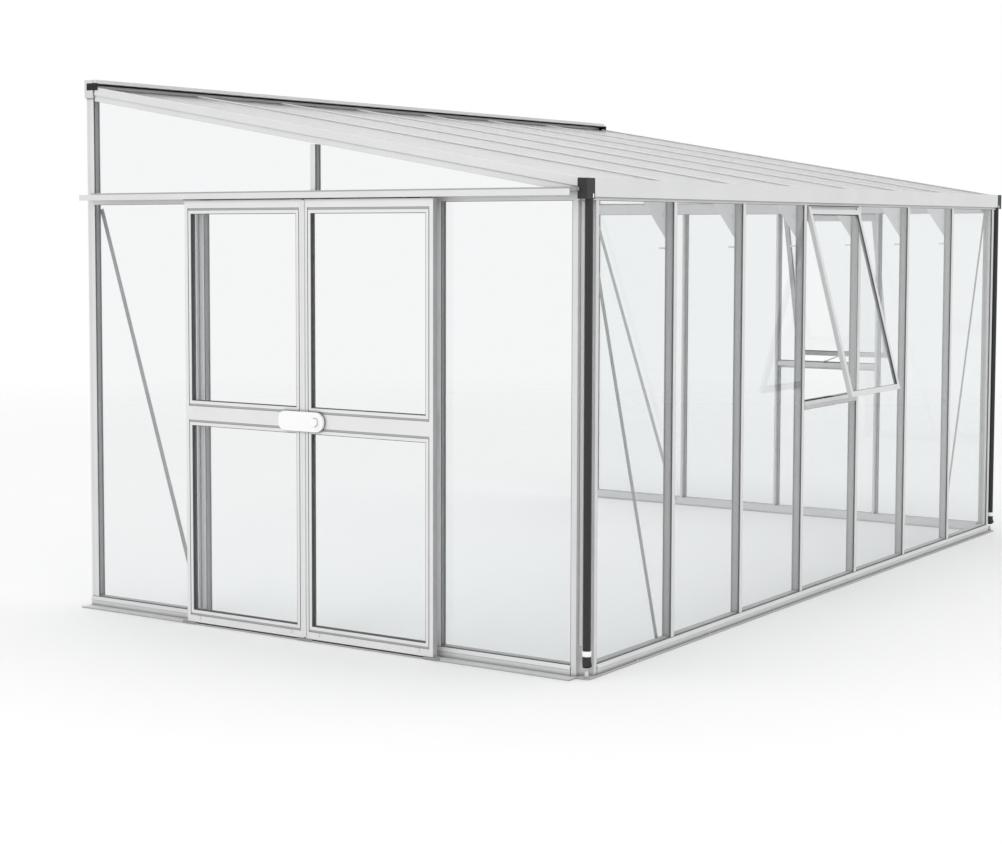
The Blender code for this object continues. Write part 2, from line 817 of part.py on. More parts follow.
def rafter_section():
    """End rafter: verge face, rebate for the roof glass, groove for the gable glass, inner angle."""
    half = CAP_WIDTH / 2 + SEAT_THICKNESS
    inner = BAR_DEPTH - SHEET
    flange = RAFTER_CAP_TOP - RAFTER_OUT / 2
    return [
        (-RAFTER_OUT, CAP_FACE),
        (half, CAP_FACE),
        (half, CAP_BACK),
        (NECK_WIDTH / 2, CAP_BACK),
        (NECK_WIDTH / 2, SEAT_FRONT),
        (half, SEAT_FRONT),
        (half, SEAT_BACK),
        (SEAT_BACK, SEAT_BACK),
        (SEAT_BACK, flange),
        (inner, flange),
        (inner, RAFTER_DEPTH),
        (inner - SHEET, RAFTER_DEPTH),
        (inner - SHEET, RAFTER_CAP_TOP),
        (SEAT_BACK, RAFTER_CAP_TOP),
        (SEAT_BACK, RAFTER_CAP_BOTTOM),
        (SEAT_FRONT, RAFTER_CAP_BOTTOM),
        (SEAT_FRONT, RAFTER_CAP_TOP + NECK_WIDTH),
        (CAP_BACK, RAFTER_CAP_TOP + NECK_WIDTH),
        (CAP_BACK, RAFTER_CAP_BOTTOM),
        (CAP_FACE, RAFTER_CAP_BOTTOM),
        (CAP_FACE, RAFTER_CAP_TOP),
        (-RAFTER_OUT, flange),
    ]


def end_rafters():
    """The two sloping edge bars of the roof, cut to sit on the gable headers."""
    section = rafter_section()
    mirrored = [(-across, inward) for across, inward in reversed(section)]
    length, (middle, height) = slope_run(GUTTER_BACK + 2 * SEAT_GAP, RAFTER_DEPTH)
    for name, place, outline in (
        ("end_rafter_door_end", 0.0, section),
        ("end_rafter_far_end", LENGTH, mirrored),
    ):
        rafter = extruded(name, [outline], length, (place, middle, height), X_AXIS, ROOF_DOWN, ALUMINIUM)
        rafter = as_mesh(rafter)
        seat_cut = box(
            name + "_seat_cut",
            (place - BAY / 2, -BAY, EAVE_TOP - BAY / 2),
            (place + BAY / 2, BAY, HEADER_TOP + HEADER_LIP + SEAT_GAP),
            ALUMINIUM,
            CUTTERS,
        )
        combine(rafter, seat_cut, "DIFFERENCE")
        parented(rafter, seat_cut)


def brace(name, top, foot, face):
    """Flat diagonal bar between two points, lying on a face whose normal is given."""
    top = Vector(top)
    foot = Vector(foot)
    along = (foot - top).normalized()
    across = along.cross(Vector(face))
    half = BRACE_WIDTH / 2
    reach = (foot - top).length / 2
    outline = [(-half, -reach), (half, -reach), (half, reach), (-half, reach)]
    bar = extruded(name, [outline], BRACE_THICKNESS, (top + foot) / 2, across, along, ALUMINIUM)
    parented(bar)


def braces():
    """Four diagonal braces in the end bays, whose feet lie on the inner faces of the base rails."""
    depth = BASE_DEPTH + SEAT_GAP + BRACE_THICKNESS / 2
    top = EAVE_TOP - BRACE_END_INSET
    foot = BASE_HEIGHT - BRACE_FOOT_OVERLAP
    first = bay_edge(1) - BRACE_FOOT_STEP
    last = bay_edge(EAVE_BAYS - 1) + BRACE_FOOT_STEP
    lean = NOTCH + SHEET + BRACE_WIDTH * 0.6
    brace("brace_eave_door_end", (lean, depth, top), (first, depth, foot), Y_AXIS)
    brace("brace_eave_far_end", (LENGTH - lean, depth, top), (last, depth, foot), Y_AXIS)
    wall_side = DEPTH - BRACE_WIDTH / 2
    inner = bay_edge(GABLE_BAYS - 1) + BRACE_FOOT_STEP
    brace("brace_door_end", (depth, wall_side, top), (depth, inner, foot), X_AXIS)
    far_top = FAR_BEAM_BOTTOM - BRACE_END_INSET
    brace("brace_far_end", (LENGTH - depth, wall_side, far_top), (LENGTH - depth, inner, foot), X_AXIS)


def sills():
    """The two bars under the vents, each between its posts."""
    bottom = SILL_TOP - SILL_HEIGHT
    section = [
        (CAP_FACE, bottom),
        (CAP_FACE, SILL_TOP),
        (BAR_DEPTH, SILL_TOP),
        (BAR_DEPTH, SILL_TOP - SILL_BACK),
        (BAR_DEPTH - SHEET, SILL_TOP - SILL_BACK),
        (BAR_DEPTH - SHEET, SILL_TOP - SHEET),
        (SEAT_BACK, SILL_TOP - SHEET),
        (SEAT_BACK, bottom),
        (SEAT_FRONT, bottom),
        (SEAT_FRONT, bottom + SILL_GROOVE),
        (CAP_BACK, bottom + SILL_GROOVE),
        (CAP_BACK, bottom),
    ]
    length = BAY - CAP_WIDTH - 2 * SEAT_GAP
    eave = extruded(
        "eave_vent_sill", [section], length, (bay_edge(EAVE_VENT_BAY - 0.5), 0, 0), Y_AXIS, Z_AXIS, ALUMINIUM
    )
    far = extruded(
        "far_vent_sill", [section], length, (LENGTH, bay_edge(FAR_VENT_BAY - 0.5), 0), -X_AXIS, Z_AXIS, ALUMINIUM
    )
    parented(eave, far)


def rectangle(left, right, bottom, top):
    """Outline of a rectangle."""
    return [(left, bottom), (right, bottom), (right, top), (left, top)]


def vent(name, pivot, across, angle_axis, height):
    """Top-hung vent, held open: a frame and its pane on a pivot line at their top."""
    hinge = bpy.data.objects.new(name + "_hinge", None)
    PARTS.objects.link(hinge)
    hinge.matrix_world = Matrix.Translation(pivot) @ Matrix.Rotation(-VENT_ANGLE, 4, angle_axis)
    bpy.context.view_layer.update()
    half = BAY / 2 - VENT_SIDE_GAP
    inner = half - VENT_BAR
    outer = rectangle(-half, half, -height, 0)
    hole = rectangle(-inner, inner, VENT_BAR - height, -VENT_TOP_BAR)
    outward = across.cross(Z_AXIS)
    shift = outward * (-VENT_THICKNESS / 2)
    frame = extruded(name + "_frame", [outer, hole], VENT_THICKNESS, shift, across, Z_AXIS, ALUMINIUM)
    frame = as_mesh(frame)
    groove_outline = rectangle(-inner, inner, -VENT_GROOVE_DROP - VENT_GROOVE_WIDTH, -VENT_GROOVE_DROP)
    groove = extruded(
        name + "_groove", [groove_outline], 2 * VENT_GROOVE_DEPTH, (0, 0, 0), across, Z_AXIS, ALUMINIUM, CUTTERS
    )
    groove = as_mesh(groove)
    combine(frame, groove, "DIFFERENCE")
    pane_outline = rectangle(
        SEAT_GAP - inner, inner - SEAT_GAP, VENT_BAR - height + SEAT_GAP, -VENT_TOP_BAR - SEAT_GAP
    )
    pane = extruded(name + "_glass", [pane_outline], GLASS, shift, across, Z_AXIS, CLEAR_GLASS)
    parented(frame, groove, pane, parent=hinge)
    parented(hinge)


def vents():
    """The open vent in the eave wall and the one in the far gable."""
    eave_level = EAVE_TOP - SEAT_GAP
    far_level = FAR_BEAM_BOTTOM - SEAT_GAP
    foot = SILL_TOP + SILL_GAP
    eave_pivot = (bay_edge(EAVE_VENT_BAY - 0.5), CAP_FACE, eave_level)
    far_pivot = (LENGTH - CAP_FACE, bay_edge(FAR_VENT_BAY - 0.5), far_level)
    vent("eave_vent", eave_pivot, X_AXIS, "X", eave_level - foot)
    vent("far_vent", far_pivot, Y_AXIS, "Y", far_level - foot)


def comb(first, last, bottom, top, strip_top):
    """Outline of neighbouring panes joined by a strip along their bottom edge, inside the rail."""
    side = NECK_WIDTH / 2 + PANE_SIDE_GAP
    points = [(bay_edge(last) - side, bottom), (bay_edge(last) - side, top)]
    for index in range(last - 1, first, -1):
        points.append((bay_edge(index) + side, top))
        points.append((bay_edge(index) + side, strip_top))
        points.append((bay_edge(index) - side, strip_top))
        points.append((bay_edge(index) - side, top))
    points.append((bay_edge(first) + side, top))
    points.append((bay_edge(first) + side, bottom))
    return points


def wall_glass():
    """Panes of the eave wall, of the far gable and beside the doors."""
    middle = GLASS / 2
    bottom = GLASS_FOOT + SEAT_GAP
    full_top = GUTTER_BOTTOM - RUNNING_GAP
    sill_groove = SILL_TOP - SILL_HEIGHT + SILL_GROOVE - SEAT_GAP
    strip = BASE_HEIGHT - SEAT_GAP
    vent_bay = EAVE_VENT_BAY
    for name, first, last, top in (
        ("eave_glass_door_end", 0, vent_bay - 1, full_top),
        ("eave_glass_below_vent", vent_bay - 1, vent_bay, sill_groove),
        ("eave_glass_far_end", vent_bay, EAVE_BAYS, full_top),
    ):
        pane = extruded(
            name, [comb(first, last, bottom, top, strip)], GLASS, (0, middle, 0), X_AXIS, Z_AXIS, CLEAR_GLASS
        )
        parented(pane)
    vent_bay = FAR_VENT_BAY
    for name, first, last, top in (
        ("far_glass_corner_side", 0, vent_bay - 1, full_top),
        ("far_glass_below_vent", vent_bay - 1, vent_bay, sill_groove),
        ("far_glass_wall_side", vent_bay, GABLE_BAYS, full_top),
    ):
        pane = extruded(
            name,
            [comb(first, last, bottom, top, strip)],
            GLASS,
            (LENGTH - middle, 0, 0),
            Y_AXIS,
            Z_AXIS,
            CLEAR_GLASS,
        )
        parented(pane)
    side = NECK_WIDTH / 2 + PANE_SIDE_GAP
    for name, first, last in (
        ("door_end_glass_corner_side", CORNER, bay_edge(1)),
        ("door_end_glass_wall_side", WALL_JAMB, DEPTH),
    ):
        pane = extruded(
            name,
            [rectangle(first + side, last - side, bottom, full_top)],
            GLASS,
            (middle, 0, 0),
            Y_AXIS,
            Z_AXIS,
            CLEAR_GLASS,
        )
        parented(pane)


def upper_glass():
    """Sloping panes above each gable's header, joined along their top in the rafter's groove."""
    side = NECK_WIDTH / 2 + PANE_SIDE_GAP
    groove = RAFTER_CAP_TOP + NECK_WIDTH + SEAT_GAP
    middle = bay_edge(GABLE_BAYS // 2)
    slot_top = below_roof(middle - CAP_WIDTH / 2, RAFTER_DEPTH) + SEAT_GAP
    plate = WALL_PLATE_BOTTOM - 2 * SEAT_GAP
    wall_edge = DEPTH - side
    slope = math.tan(ROOF_ANGLE)
    foot = HEADER_TOP + SEAT_GAP
    tip = (foot + UPPER_PANE_TIP - below_roof(0, groove)) / slope
    shoulder = (plate - below_roof(0, groove)) / slope
    outline = [
        (tip, foot),
        (tip, foot + UPPER_PANE_TIP),
        (shoulder, plate),
        (wall_edge, plate),
        (wall_edge, foot),
        (middle + side, foot),
        (middle + side, slot_top),
        (middle - side, slot_top),
        (middle - side, foot),
    ]
    for name, place in (("door_end_upper_glass", GLASS / 2), ("far_end_upper_glass", LENGTH - GLASS / 2)):
        pane = extruded(name, [outline], GLASS, (place, 0, 0), Y_AXIS, Z_AXIS, CLEAR_GLASS)
        parented(pane)


def roof_glass():
    """Seven roof panes, joined along their upper edge on the wall plate's ledge."""
    side = NECK_WIDTH / 2 + PANE_SIDE_GAP
    length, (middle, height) = slope_run(ROOF_START, BAR_DEPTH)
    bar_end = length / 2 + SEAT_GAP
    back = WALL_PLATE_FACE + PLATE_LEDGE - SEAT_GAP - GLASS * math.sin(ROOF_ANGLE)
    top = (back - middle) / math.cos(ROOF_ANGLE)
    foot = -length / 2
    edge = NECK_WIDTH / 2 + SEAT_GAP
    corner = END_CAP_INSET + SEAT_GAP
    notch = (END_CAP_DEPTH - GUTTER_FRONT + 2 * SEAT_GAP - middle) / math.cos(ROOF_ANGLE)
    outline = [(corner, foot), (corner, notch), (edge, notch), (edge, top)]
    outline += [(LENGTH - across, along) for across, along in reversed(outline)]
    for index in range(EAVE_BAYS - 1, 0, -1):
        place = bay_edge(index)
        outline += [(place + side, foot), (place + side, bar_end), (place - side, bar_end), (place - side, foot)]
    centre = Vector((0, middle, height)) + ROOF_DOWN * (GLASS / 2)
    pane = extruded("roof_glass", [outline], GLASS, centre, X_AXIS, SLOPE, CLEAR_GLASS)
    parented(pane)


def ring_groove(name, light):
    """Cutter for the groove that runs round a light in a leaf's outer face."""
    left, low = light[0]
    right, high = light[2]
    outlines = []
    for side, level in ((RING_SIDE_WIDTH, RING_LEVEL_WIDTH), (0, 0)):
        across = RING_INSET + side
        upright = RING_INSET + level
        outlines.append(rectangle(left - across, right + across, low - upright, high + upright))
    ring = extruded(name, outlines, 2 * RING_DEPTH, (-LEAF_FRONT, 0, 0), Y_AXIS, Z_AXIS, ALUMINIUM, CUTTERS)
    return as_mesh(ring)


def leaf(name, edge, with_boss):
    """Sliding door leaf: frame with two lights, its pane, and two wheels on hangers.

    The frame hangs on an empty at its own middle, and slides along Y.
    """
    bottom = LEAF_BOTTOM
    top = HEADER_BOTTOM - RUNNING_GAP
    back = LEAF_THICKNESS - LEAF_FRONT
    middle_x = back - LEAF_THICKNESS / 2
    low = MID_RAIL_LEVEL - MID_RAIL / 2
    high = MID_RAIL_LEVEL + MID_RAIL / 2
    right = edge + LEAF_WIDTH
    outer = rectangle(edge, right, bottom, top)
    lower = rectangle(edge + STILE, right - STILE, bottom + BOTTOM_RAIL, low)
    upper = rectangle(edge + STILE, right - STILE, high, top - TOP_RAIL)
    frame = extruded(
        name + "_frame", [outer, lower, upper], LEAF_THICKNESS, (middle_x, 0, 0), Y_AXIS, Z_AXIS, ALUMINIUM
    )
    frame = as_mesh(frame)
    for part, light in (("lower", lower), ("upper", upper)):
        ring = ring_groove("%s_%s_groove" % (name, part), light)
        combine(frame, ring, "DIFFERENCE")
        parented(ring)
    wheel_level = HEADER_BOTTOM + SHEET + SEAT_GAP + WHEEL_DIAMETER / 2
    wheel_x = RAIL_LIP - RAIL_OUT - WHEEL_WIDTH / 2 - BASE_FLANGE / 2
    hanger_x = middle_x + HANGER_THICKNESS
    tools = []
    for number, place in ((1, edge + HANGER_INSET), (2, right - HANGER_INSET)):
        hanger = box(
            "%s_hanger_%d" % (name, number),
            (hanger_x, place - HANGER_WIDTH / 2, top - TOP_RAIL / 2),
            (hanger_x + HANGER_THICKNESS, place + HANGER_WIDTH / 2, wheel_level + WHEEL_DIAMETER / 2),
            ALUMINIUM,
            CUTTERS,
        )
        wheel = cylinder(
            "%s_wheel_%d" % (name, number),
            (wheel_x, place, wheel_level),
            X_AXIS,
            WHEEL_DIAMETER,
            WHEEL_WIDTH,
            ALUMINIUM,
            CUTTERS,
            16,
        )
        axle_length = hanger_x + HANGER_THICKNESS / 2 - wheel_x
        axle = cylinder(
            "%s_axle_%d" % (name, number),
            (wheel_x + axle_length / 2, place, wheel_level),
            X_AXIS,
            AXLE_DIAMETER,
            axle_length,
            ALUMINIUM,
            CUTTERS,
            12,
        )
        tools += [hanger, wheel, axle]
    if with_boss:
        boss_length = RUNNING_GAP + STILE / 2
        boss = cylinder(
            name + "_latch_boss",
            (-LEAF_FRONT - RUNNING_GAP + boss_length / 2, latch_pivot()[1], latch_pivot()[2]),
            X_AXIS,
            BOSS_DIAMETER,
            boss_length,
            ALUMINIUM,
            CUTTERS,
        )
        tools.append(boss)
    for tool in tools:
        combine(frame, tool, "UNION")
        parented(tool)
    parented(frame)
    for part, light in (("lower", lower), ("upper", upper)):
        left, low_edge = light[0]
        far, high_edge = light[2]
        outline = rectangle(left + SEAT_GAP, far - SEAT_GAP, low_edge + SEAT_GAP, high_edge - SEAT_GAP)
        pane = extruded(
            "%s_%s_glass" % (name, part), [outline], GLASS, (middle_x, 0, 0), Y_AXIS, Z_AXIS, CLEAR_GLASS
        )
        parented(pane)


def latch_pivot():
    """Point on the latch's turning axis, on the corner side leaf."""
    middle = bay_edge(GABLE_BAYS / 2)
    leaf_edge = middle - LEAF_GAP / 2
    back = LEAF_FRONT + RUNNING_GAP + SEAT_GAP
    return (-back, leaf_edge - LATCH_PIVOT_IN, MID_RAIL_LEVEL - SHEET)


def rounded_plate(left, right, half, left_radius, right_radius):
    """Outline of a level plate with round corners, of its own radius at each end."""
    points = []
    corners = (
        (right - right_radius, right_radius - half, right_radius, -90),
        (right - right_radius, half - right_radius, right_radius, 0),
        (left + left_radius, half - left_radius, left_radius, 90),
        (left + left_radius, left_radius - half, left_radius, 180),
    )
    for centre_x, centre_y, radius, start in corners:
        for step in range(7):
            angle = math.radians(start + 15 * step)
            points.append((centre_x + radius * math.cos(angle), centre_y + radius * math.sin(angle)))
    return points


def latch():
    """Latch plate with a knob, turning on a boss of the corner side leaf."""
    pivot = latch_pivot()
    half = LATCH_HEIGHT / 2
    outline = rounded_plate(-half, LATCH_LENGTH - half, half, LATCH_END_RADIUS, LATCH_TIP_RADIUS)
    centre = (pivot[0] - LATCH_THICKNESS / 2, pivot[1], pivot[2])
    plate = extruded("door_latch", [outline], LATCH_THICKNESS, centre, Y_AXIS, Z_AXIS, WHITE_PLASTIC)
    plate = as_mesh(plate)
    knob_length = KNOB_LENGTH + LATCH_THICKNESS / 2
    knob = cylinder(
        "door_latch_knob",
        (pivot[0] - LATCH_THICKNESS / 2 - knob_length / 2, pivot[1], pivot[2]),
        X_AXIS,
        KNOB_DIAMETER,
        knob_length,
        WHITE_PLASTIC,
        CUTTERS,
    )
    combine(plate, knob, "UNION")
    parented(plate, knob)


def doors():
    """The two sliding leaves, which meet at the middle of the doorway, and their latch."""
    middle = bay_edge(GABLE_BAYS / 2)
    leaf("wall_side_leaf", middle + LEAF_GAP / 2, False)
    leaf("corner_side_leaf", middle - LEAF_GAP / 2 - LEAF_WIDTH, True)
    latch()


def centre_on_footprint():
    """Move the building so that its origin is at the middle of its own bounding box, on the ground."""
    bpy.context.view_layer.update()
    graph = bpy.context.evaluated_depsgraph_get()
    low = [math.inf, math.inf]
    high = [-math.inf, -math.inf]
    for part in PARTS.objects:
        if part.type == "EMPTY":
            continue
        solid = part.evaluated_get(graph)
        mesh = solid.to_mesh()
        for vertex in mesh.vertices:
            place = solid.matrix_world @ vertex.co
            for axis in range(2):
                low[axis] = min(low[axis], place[axis])
                high[axis] = max(high[axis], place[axis])
        solid.to_mesh_clear()
    ORIGIN.location = (-(low[0] + high[0]) / 2, -(low[1] + high[1]) / 2, 0)
    bpy.context.view_layer.update()


base_rails()
corner_posts()
wall_posts()
eave_posts()
gable_posts()
door_header()
far_header()
gutter_and_pipes()
wall_plate()
roof_bars()
end_rafters()
braces()
sills()
vents()
wall_glass()
upper_glass()
roof_glass()
doors()
centre_on_footprint()
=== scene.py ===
# %% [markdown]
# A lean-to greenhouse leans on a house wall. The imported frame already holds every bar, pane, rail
# and pipe at its real size, so this script gives them their finishes, adds the small fittings that
# a catalogue picture shows, and sets up a studio. Everything is in metres, in the frame's axes:
# X along the eave, Y towards the house wall, Z up.

# %% Load the frame
import json
import math

import bmesh
import bpy
from mathutils import Matrix, Vector


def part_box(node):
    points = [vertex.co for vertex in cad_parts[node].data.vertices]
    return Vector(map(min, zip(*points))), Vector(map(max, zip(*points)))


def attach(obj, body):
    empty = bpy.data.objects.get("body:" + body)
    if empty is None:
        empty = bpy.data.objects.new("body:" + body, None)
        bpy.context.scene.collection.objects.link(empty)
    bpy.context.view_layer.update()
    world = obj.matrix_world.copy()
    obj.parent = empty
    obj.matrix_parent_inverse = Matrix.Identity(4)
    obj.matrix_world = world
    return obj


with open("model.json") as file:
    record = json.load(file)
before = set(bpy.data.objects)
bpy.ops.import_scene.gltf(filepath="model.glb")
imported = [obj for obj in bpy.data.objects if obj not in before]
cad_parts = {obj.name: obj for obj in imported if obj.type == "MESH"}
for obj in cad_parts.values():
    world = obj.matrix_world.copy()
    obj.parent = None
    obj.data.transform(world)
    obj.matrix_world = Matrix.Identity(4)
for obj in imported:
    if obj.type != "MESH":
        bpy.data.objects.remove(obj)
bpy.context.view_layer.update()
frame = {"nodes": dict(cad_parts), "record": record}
nodes = frame["nodes"]

# %% [markdown]
# Fittings are placed from the corner where the outer faces of the eave glass and of the door
# gable's glass would meet. Two panes give that corner, so nothing here is typed from the frame.

# %% Find the corner of the two glass planes
corner_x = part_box("door_end_glass_wall_side")[0].x
corner_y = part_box("eave_glass_door_end")[0].y
far_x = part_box("far_glass_wall_side")[1].x
length = far_x - corner_x
print("Eave length between the gable panes:", round(length, 3))


def at(along, deep, up):
    """Point measured from the corner of the two glass planes, on the ground."""
    return Vector((corner_x + along, corner_y + deep, up))


# %% [markdown]
# The photograph is taken from a little over the eye level of a person who stands off the near
# corner, with a long lens. The lens and the shift put the principal point where the lines of the
# picture say it is, so the uprights stay parallel in the same way.

# %% Camera
IMAGE_WIDTH = 1002
IMAGE_HEIGHT = 844
FOCAL_PIXELS = 1977.65
PRINCIPAL_X = 430.04
PRINCIPAL_Y = 365.97
SENSOR = 36.0
CAMERA_PLACE = (-6.5095, -3.8021, 1.727)
TILT_DOWN = 0.069
TURN = 0.9621

camera_data = bpy.data.cameras.new("photo_camera")
camera_data.sensor_width = SENSOR
camera_data.lens = FOCAL_PIXELS / IMAGE_WIDTH * SENSOR
camera_data.shift_x = (IMAGE_WIDTH / 2 - PRINCIPAL_X) / IMAGE_WIDTH
camera_data.shift_y = (PRINCIPAL_Y - IMAGE_HEIGHT / 2) / IMAGE_WIDTH
camera_data.clip_end = 200
camera = bpy.data.objects.new("photo_camera", camera_data)
bpy.context.scene.collection.objects.link(camera)
camera.location = at(*CAMERA_PLACE)
camera.rotation_euler = (math.radians(90) - TILT_DOWN, 0, -TURN)
bpy.context.scene.camera = camera
print("Lens:", round(camera_data.lens, 1), "mm")

# %% [markdown]
# The picture's background is plain white. The world is white where the camera, a reflection or a
# pane looks at it, and dimmer where it only lights the object, so that pale metal keeps its tone.

# %% World
SKY_LIGHT = 0.92

world = bpy.data.worlds.new("studio")
bpy.context.scene.world = world
world.use_nodes = True
world.node_tree.nodes.clear()
add = world.node_tree.nodes.new
link = world.node_tree.links.new
seen = add("ShaderNodeBackground")
seen.inputs["Color"].default_value = (1, 1, 1, 1)
lit = add("ShaderNodeBackground")
lit.inputs["Color"].default_value = (1, 1, 1, 1)
lit.inputs["Strength"].default_value = SKY_LIGHT
path = add("ShaderNodeLightPath")
camera_or_gloss = add("ShaderNodeMath")
camera_or_gloss.operation = "MAXIMUM"
any_seen = add("ShaderNodeMath")
any_seen.operation = "MAXIMUM"
mix = add("ShaderNodeMixShader")
output = add("ShaderNodeOutputWorld")
link(path.outputs["Is Camera Ray"], camera_or_gloss.inputs[0])
link(path.outputs["Is Glossy Ray"], camera_or_gloss.inputs[1])
link(camera_or_gloss.outputs[0], any_seen.inputs[0])
link(path.outputs["Is Transmission Ray"], any_seen.inputs[1])
link(any_seen.outputs[0], mix.inputs["Fac"])
link(lit.outputs[0], mix.inputs[1])
link(seen.outputs[0], mix.inputs[2])
link(mix.outputs[0], output.inputs["Surface"])

# %% [markdown]
# Three large soft lamps stand like studio boxes: one in front of the eave, one off the door gable
# and a weak one above. The eave side is a little brighter than the gable in the picture.

# %% Lamps


def soft_lamp(name, place, target, size, power):
    """Square area lamp that looks at a target point."""
    data = bpy.data.lights.new(name, "AREA")
    data.size = size
    data.energy = power
    lamp = bpy.data.objects.new(name, data)
    bpy.context.scene.collection.objects.link(lamp)
    lamp.location = place
    lamp.rotation_euler = (target - place).to_track_quat("-Z", "Y").to_euler()
    return lamp


middle = at(length / 2, 1.3, 1.0)
soft_lamp("eave_lamp", at(1.0, -9.0, 5.0), middle, 6.0, 70)
soft_lamp("gable_lamp", at(-9.0, 0.5, 4.0), middle, 5.0, 130)
soft_lamp("top_lamp", at(2.0, 1.0, 9.0), middle, 6.0, 110)

# %% [markdown]
# The floor is a round plane that fades out before the horizon, so no line shows where it ends. It
# is pale rather than pure white, and so still takes the shadow under the base rails.

# %% Floor
FLOOR_RADIUS = 14.0
FLOOR_FADE_START = 0.30
FLOOR_FADE_END = 0.95
FLOOR_TONE = 0.955

bpy.ops.object.select_all(action="DESELECT")
bpy.ops.mesh.primitive_circle_add(vertices=64, radius=FLOOR_RADIUS, fill_type="NGON", location=(0, 0, -0.001))
floor = bpy.context.object
floor.name = "studio_floor"
floor_paint = bpy.data.materials.new("studio_floor")
floor_paint.use_nodes = True
tree = floor_paint.node_tree
shader = tree.nodes["Principled BSDF"]
shader.inputs["Base Color"].default_value = (FLOOR_TONE, FLOOR_TONE, FLOOR_TONE, 1)
shader.inputs["Roughness"].default_value = 0.9
shader.inputs["Specular IOR Level"].default_value = 0.1
place = tree.nodes.new("ShaderNodeTexCoord")
distance = tree.nodes.new("ShaderNodeVectorMath")
distance.operation = "LENGTH"
fade = tree.nodes.new("ShaderNodeMapRange")
fade.inputs["From Min"].default_value = FLOOR_RADIUS * FLOOR_FADE_START
fade.inputs["From Max"].default_value = FLOOR_RADIUS * FLOOR_FADE_END
fade.inputs["To Min"].default_value = 1.0
fade.inputs["To Max"].default_value = 0.0
tree.links.new(place.outputs["Object"], distance.inputs[0])
tree.links.new(distance.outputs["Value"], fade.inputs["Value"])
tree.links.new(fade.outputs["Result"], shader.inputs["Alpha"])
floor.data.materials.append(floor_paint)
bpy.context.scene.view_settings.view_transform = "Standard"

# %% [markdown]
# Mill-finish aluminium is pale and dull, with faint streaks left by the die along each bar and a
# slightly cloudy skin. Shade is painted into its grooves and corners, and indoors the bars are
# painted greyer as shade: most of all just behind the glass, and less further into the room. One
# node group makes all of this, and each metal reads it with its own values. The painted corner shade
# comes from an Ambient Occlusion node with a short reach, and the painted indoor shade from masks on
# Object coordinates.

# %% Metal skin group
MASK_EDGE = 0.0006
BAR_DEPTH = 0.0455
SHADE_REACH = 0.016


def band_mask(group, source, plane, depth):
    """Mask that is 1 beyond a plane, moved inwards by a depth."""
    add = group.nodes.new
    link = group.links.new
    low = add("ShaderNodeMath")
    low.operation = "ADD"
    low.inputs[1].default_value = depth
    high = add("ShaderNodeMath")
    high.operation = "ADD"
    high.inputs[1].default_value = depth + MASK_EDGE
    side = add("ShaderNodeMapRange")
    link(plane, low.inputs[0])
    link(plane, high.inputs[0])
    link(source, side.inputs["Value"])
    link(low.outputs[0], side.inputs["From Min"])
    link(high.outputs[0], side.inputs["From Max"])
    return side.outputs["Result"]


def times(group, first, second):
    """Product of two masks."""
    node = group.nodes.new("ShaderNodeMath")
    node.operation = "MULTIPLY"
    group.links.new(first, node.inputs[0])
    group.links.new(second, node.inputs[1])
    return node.outputs[0]


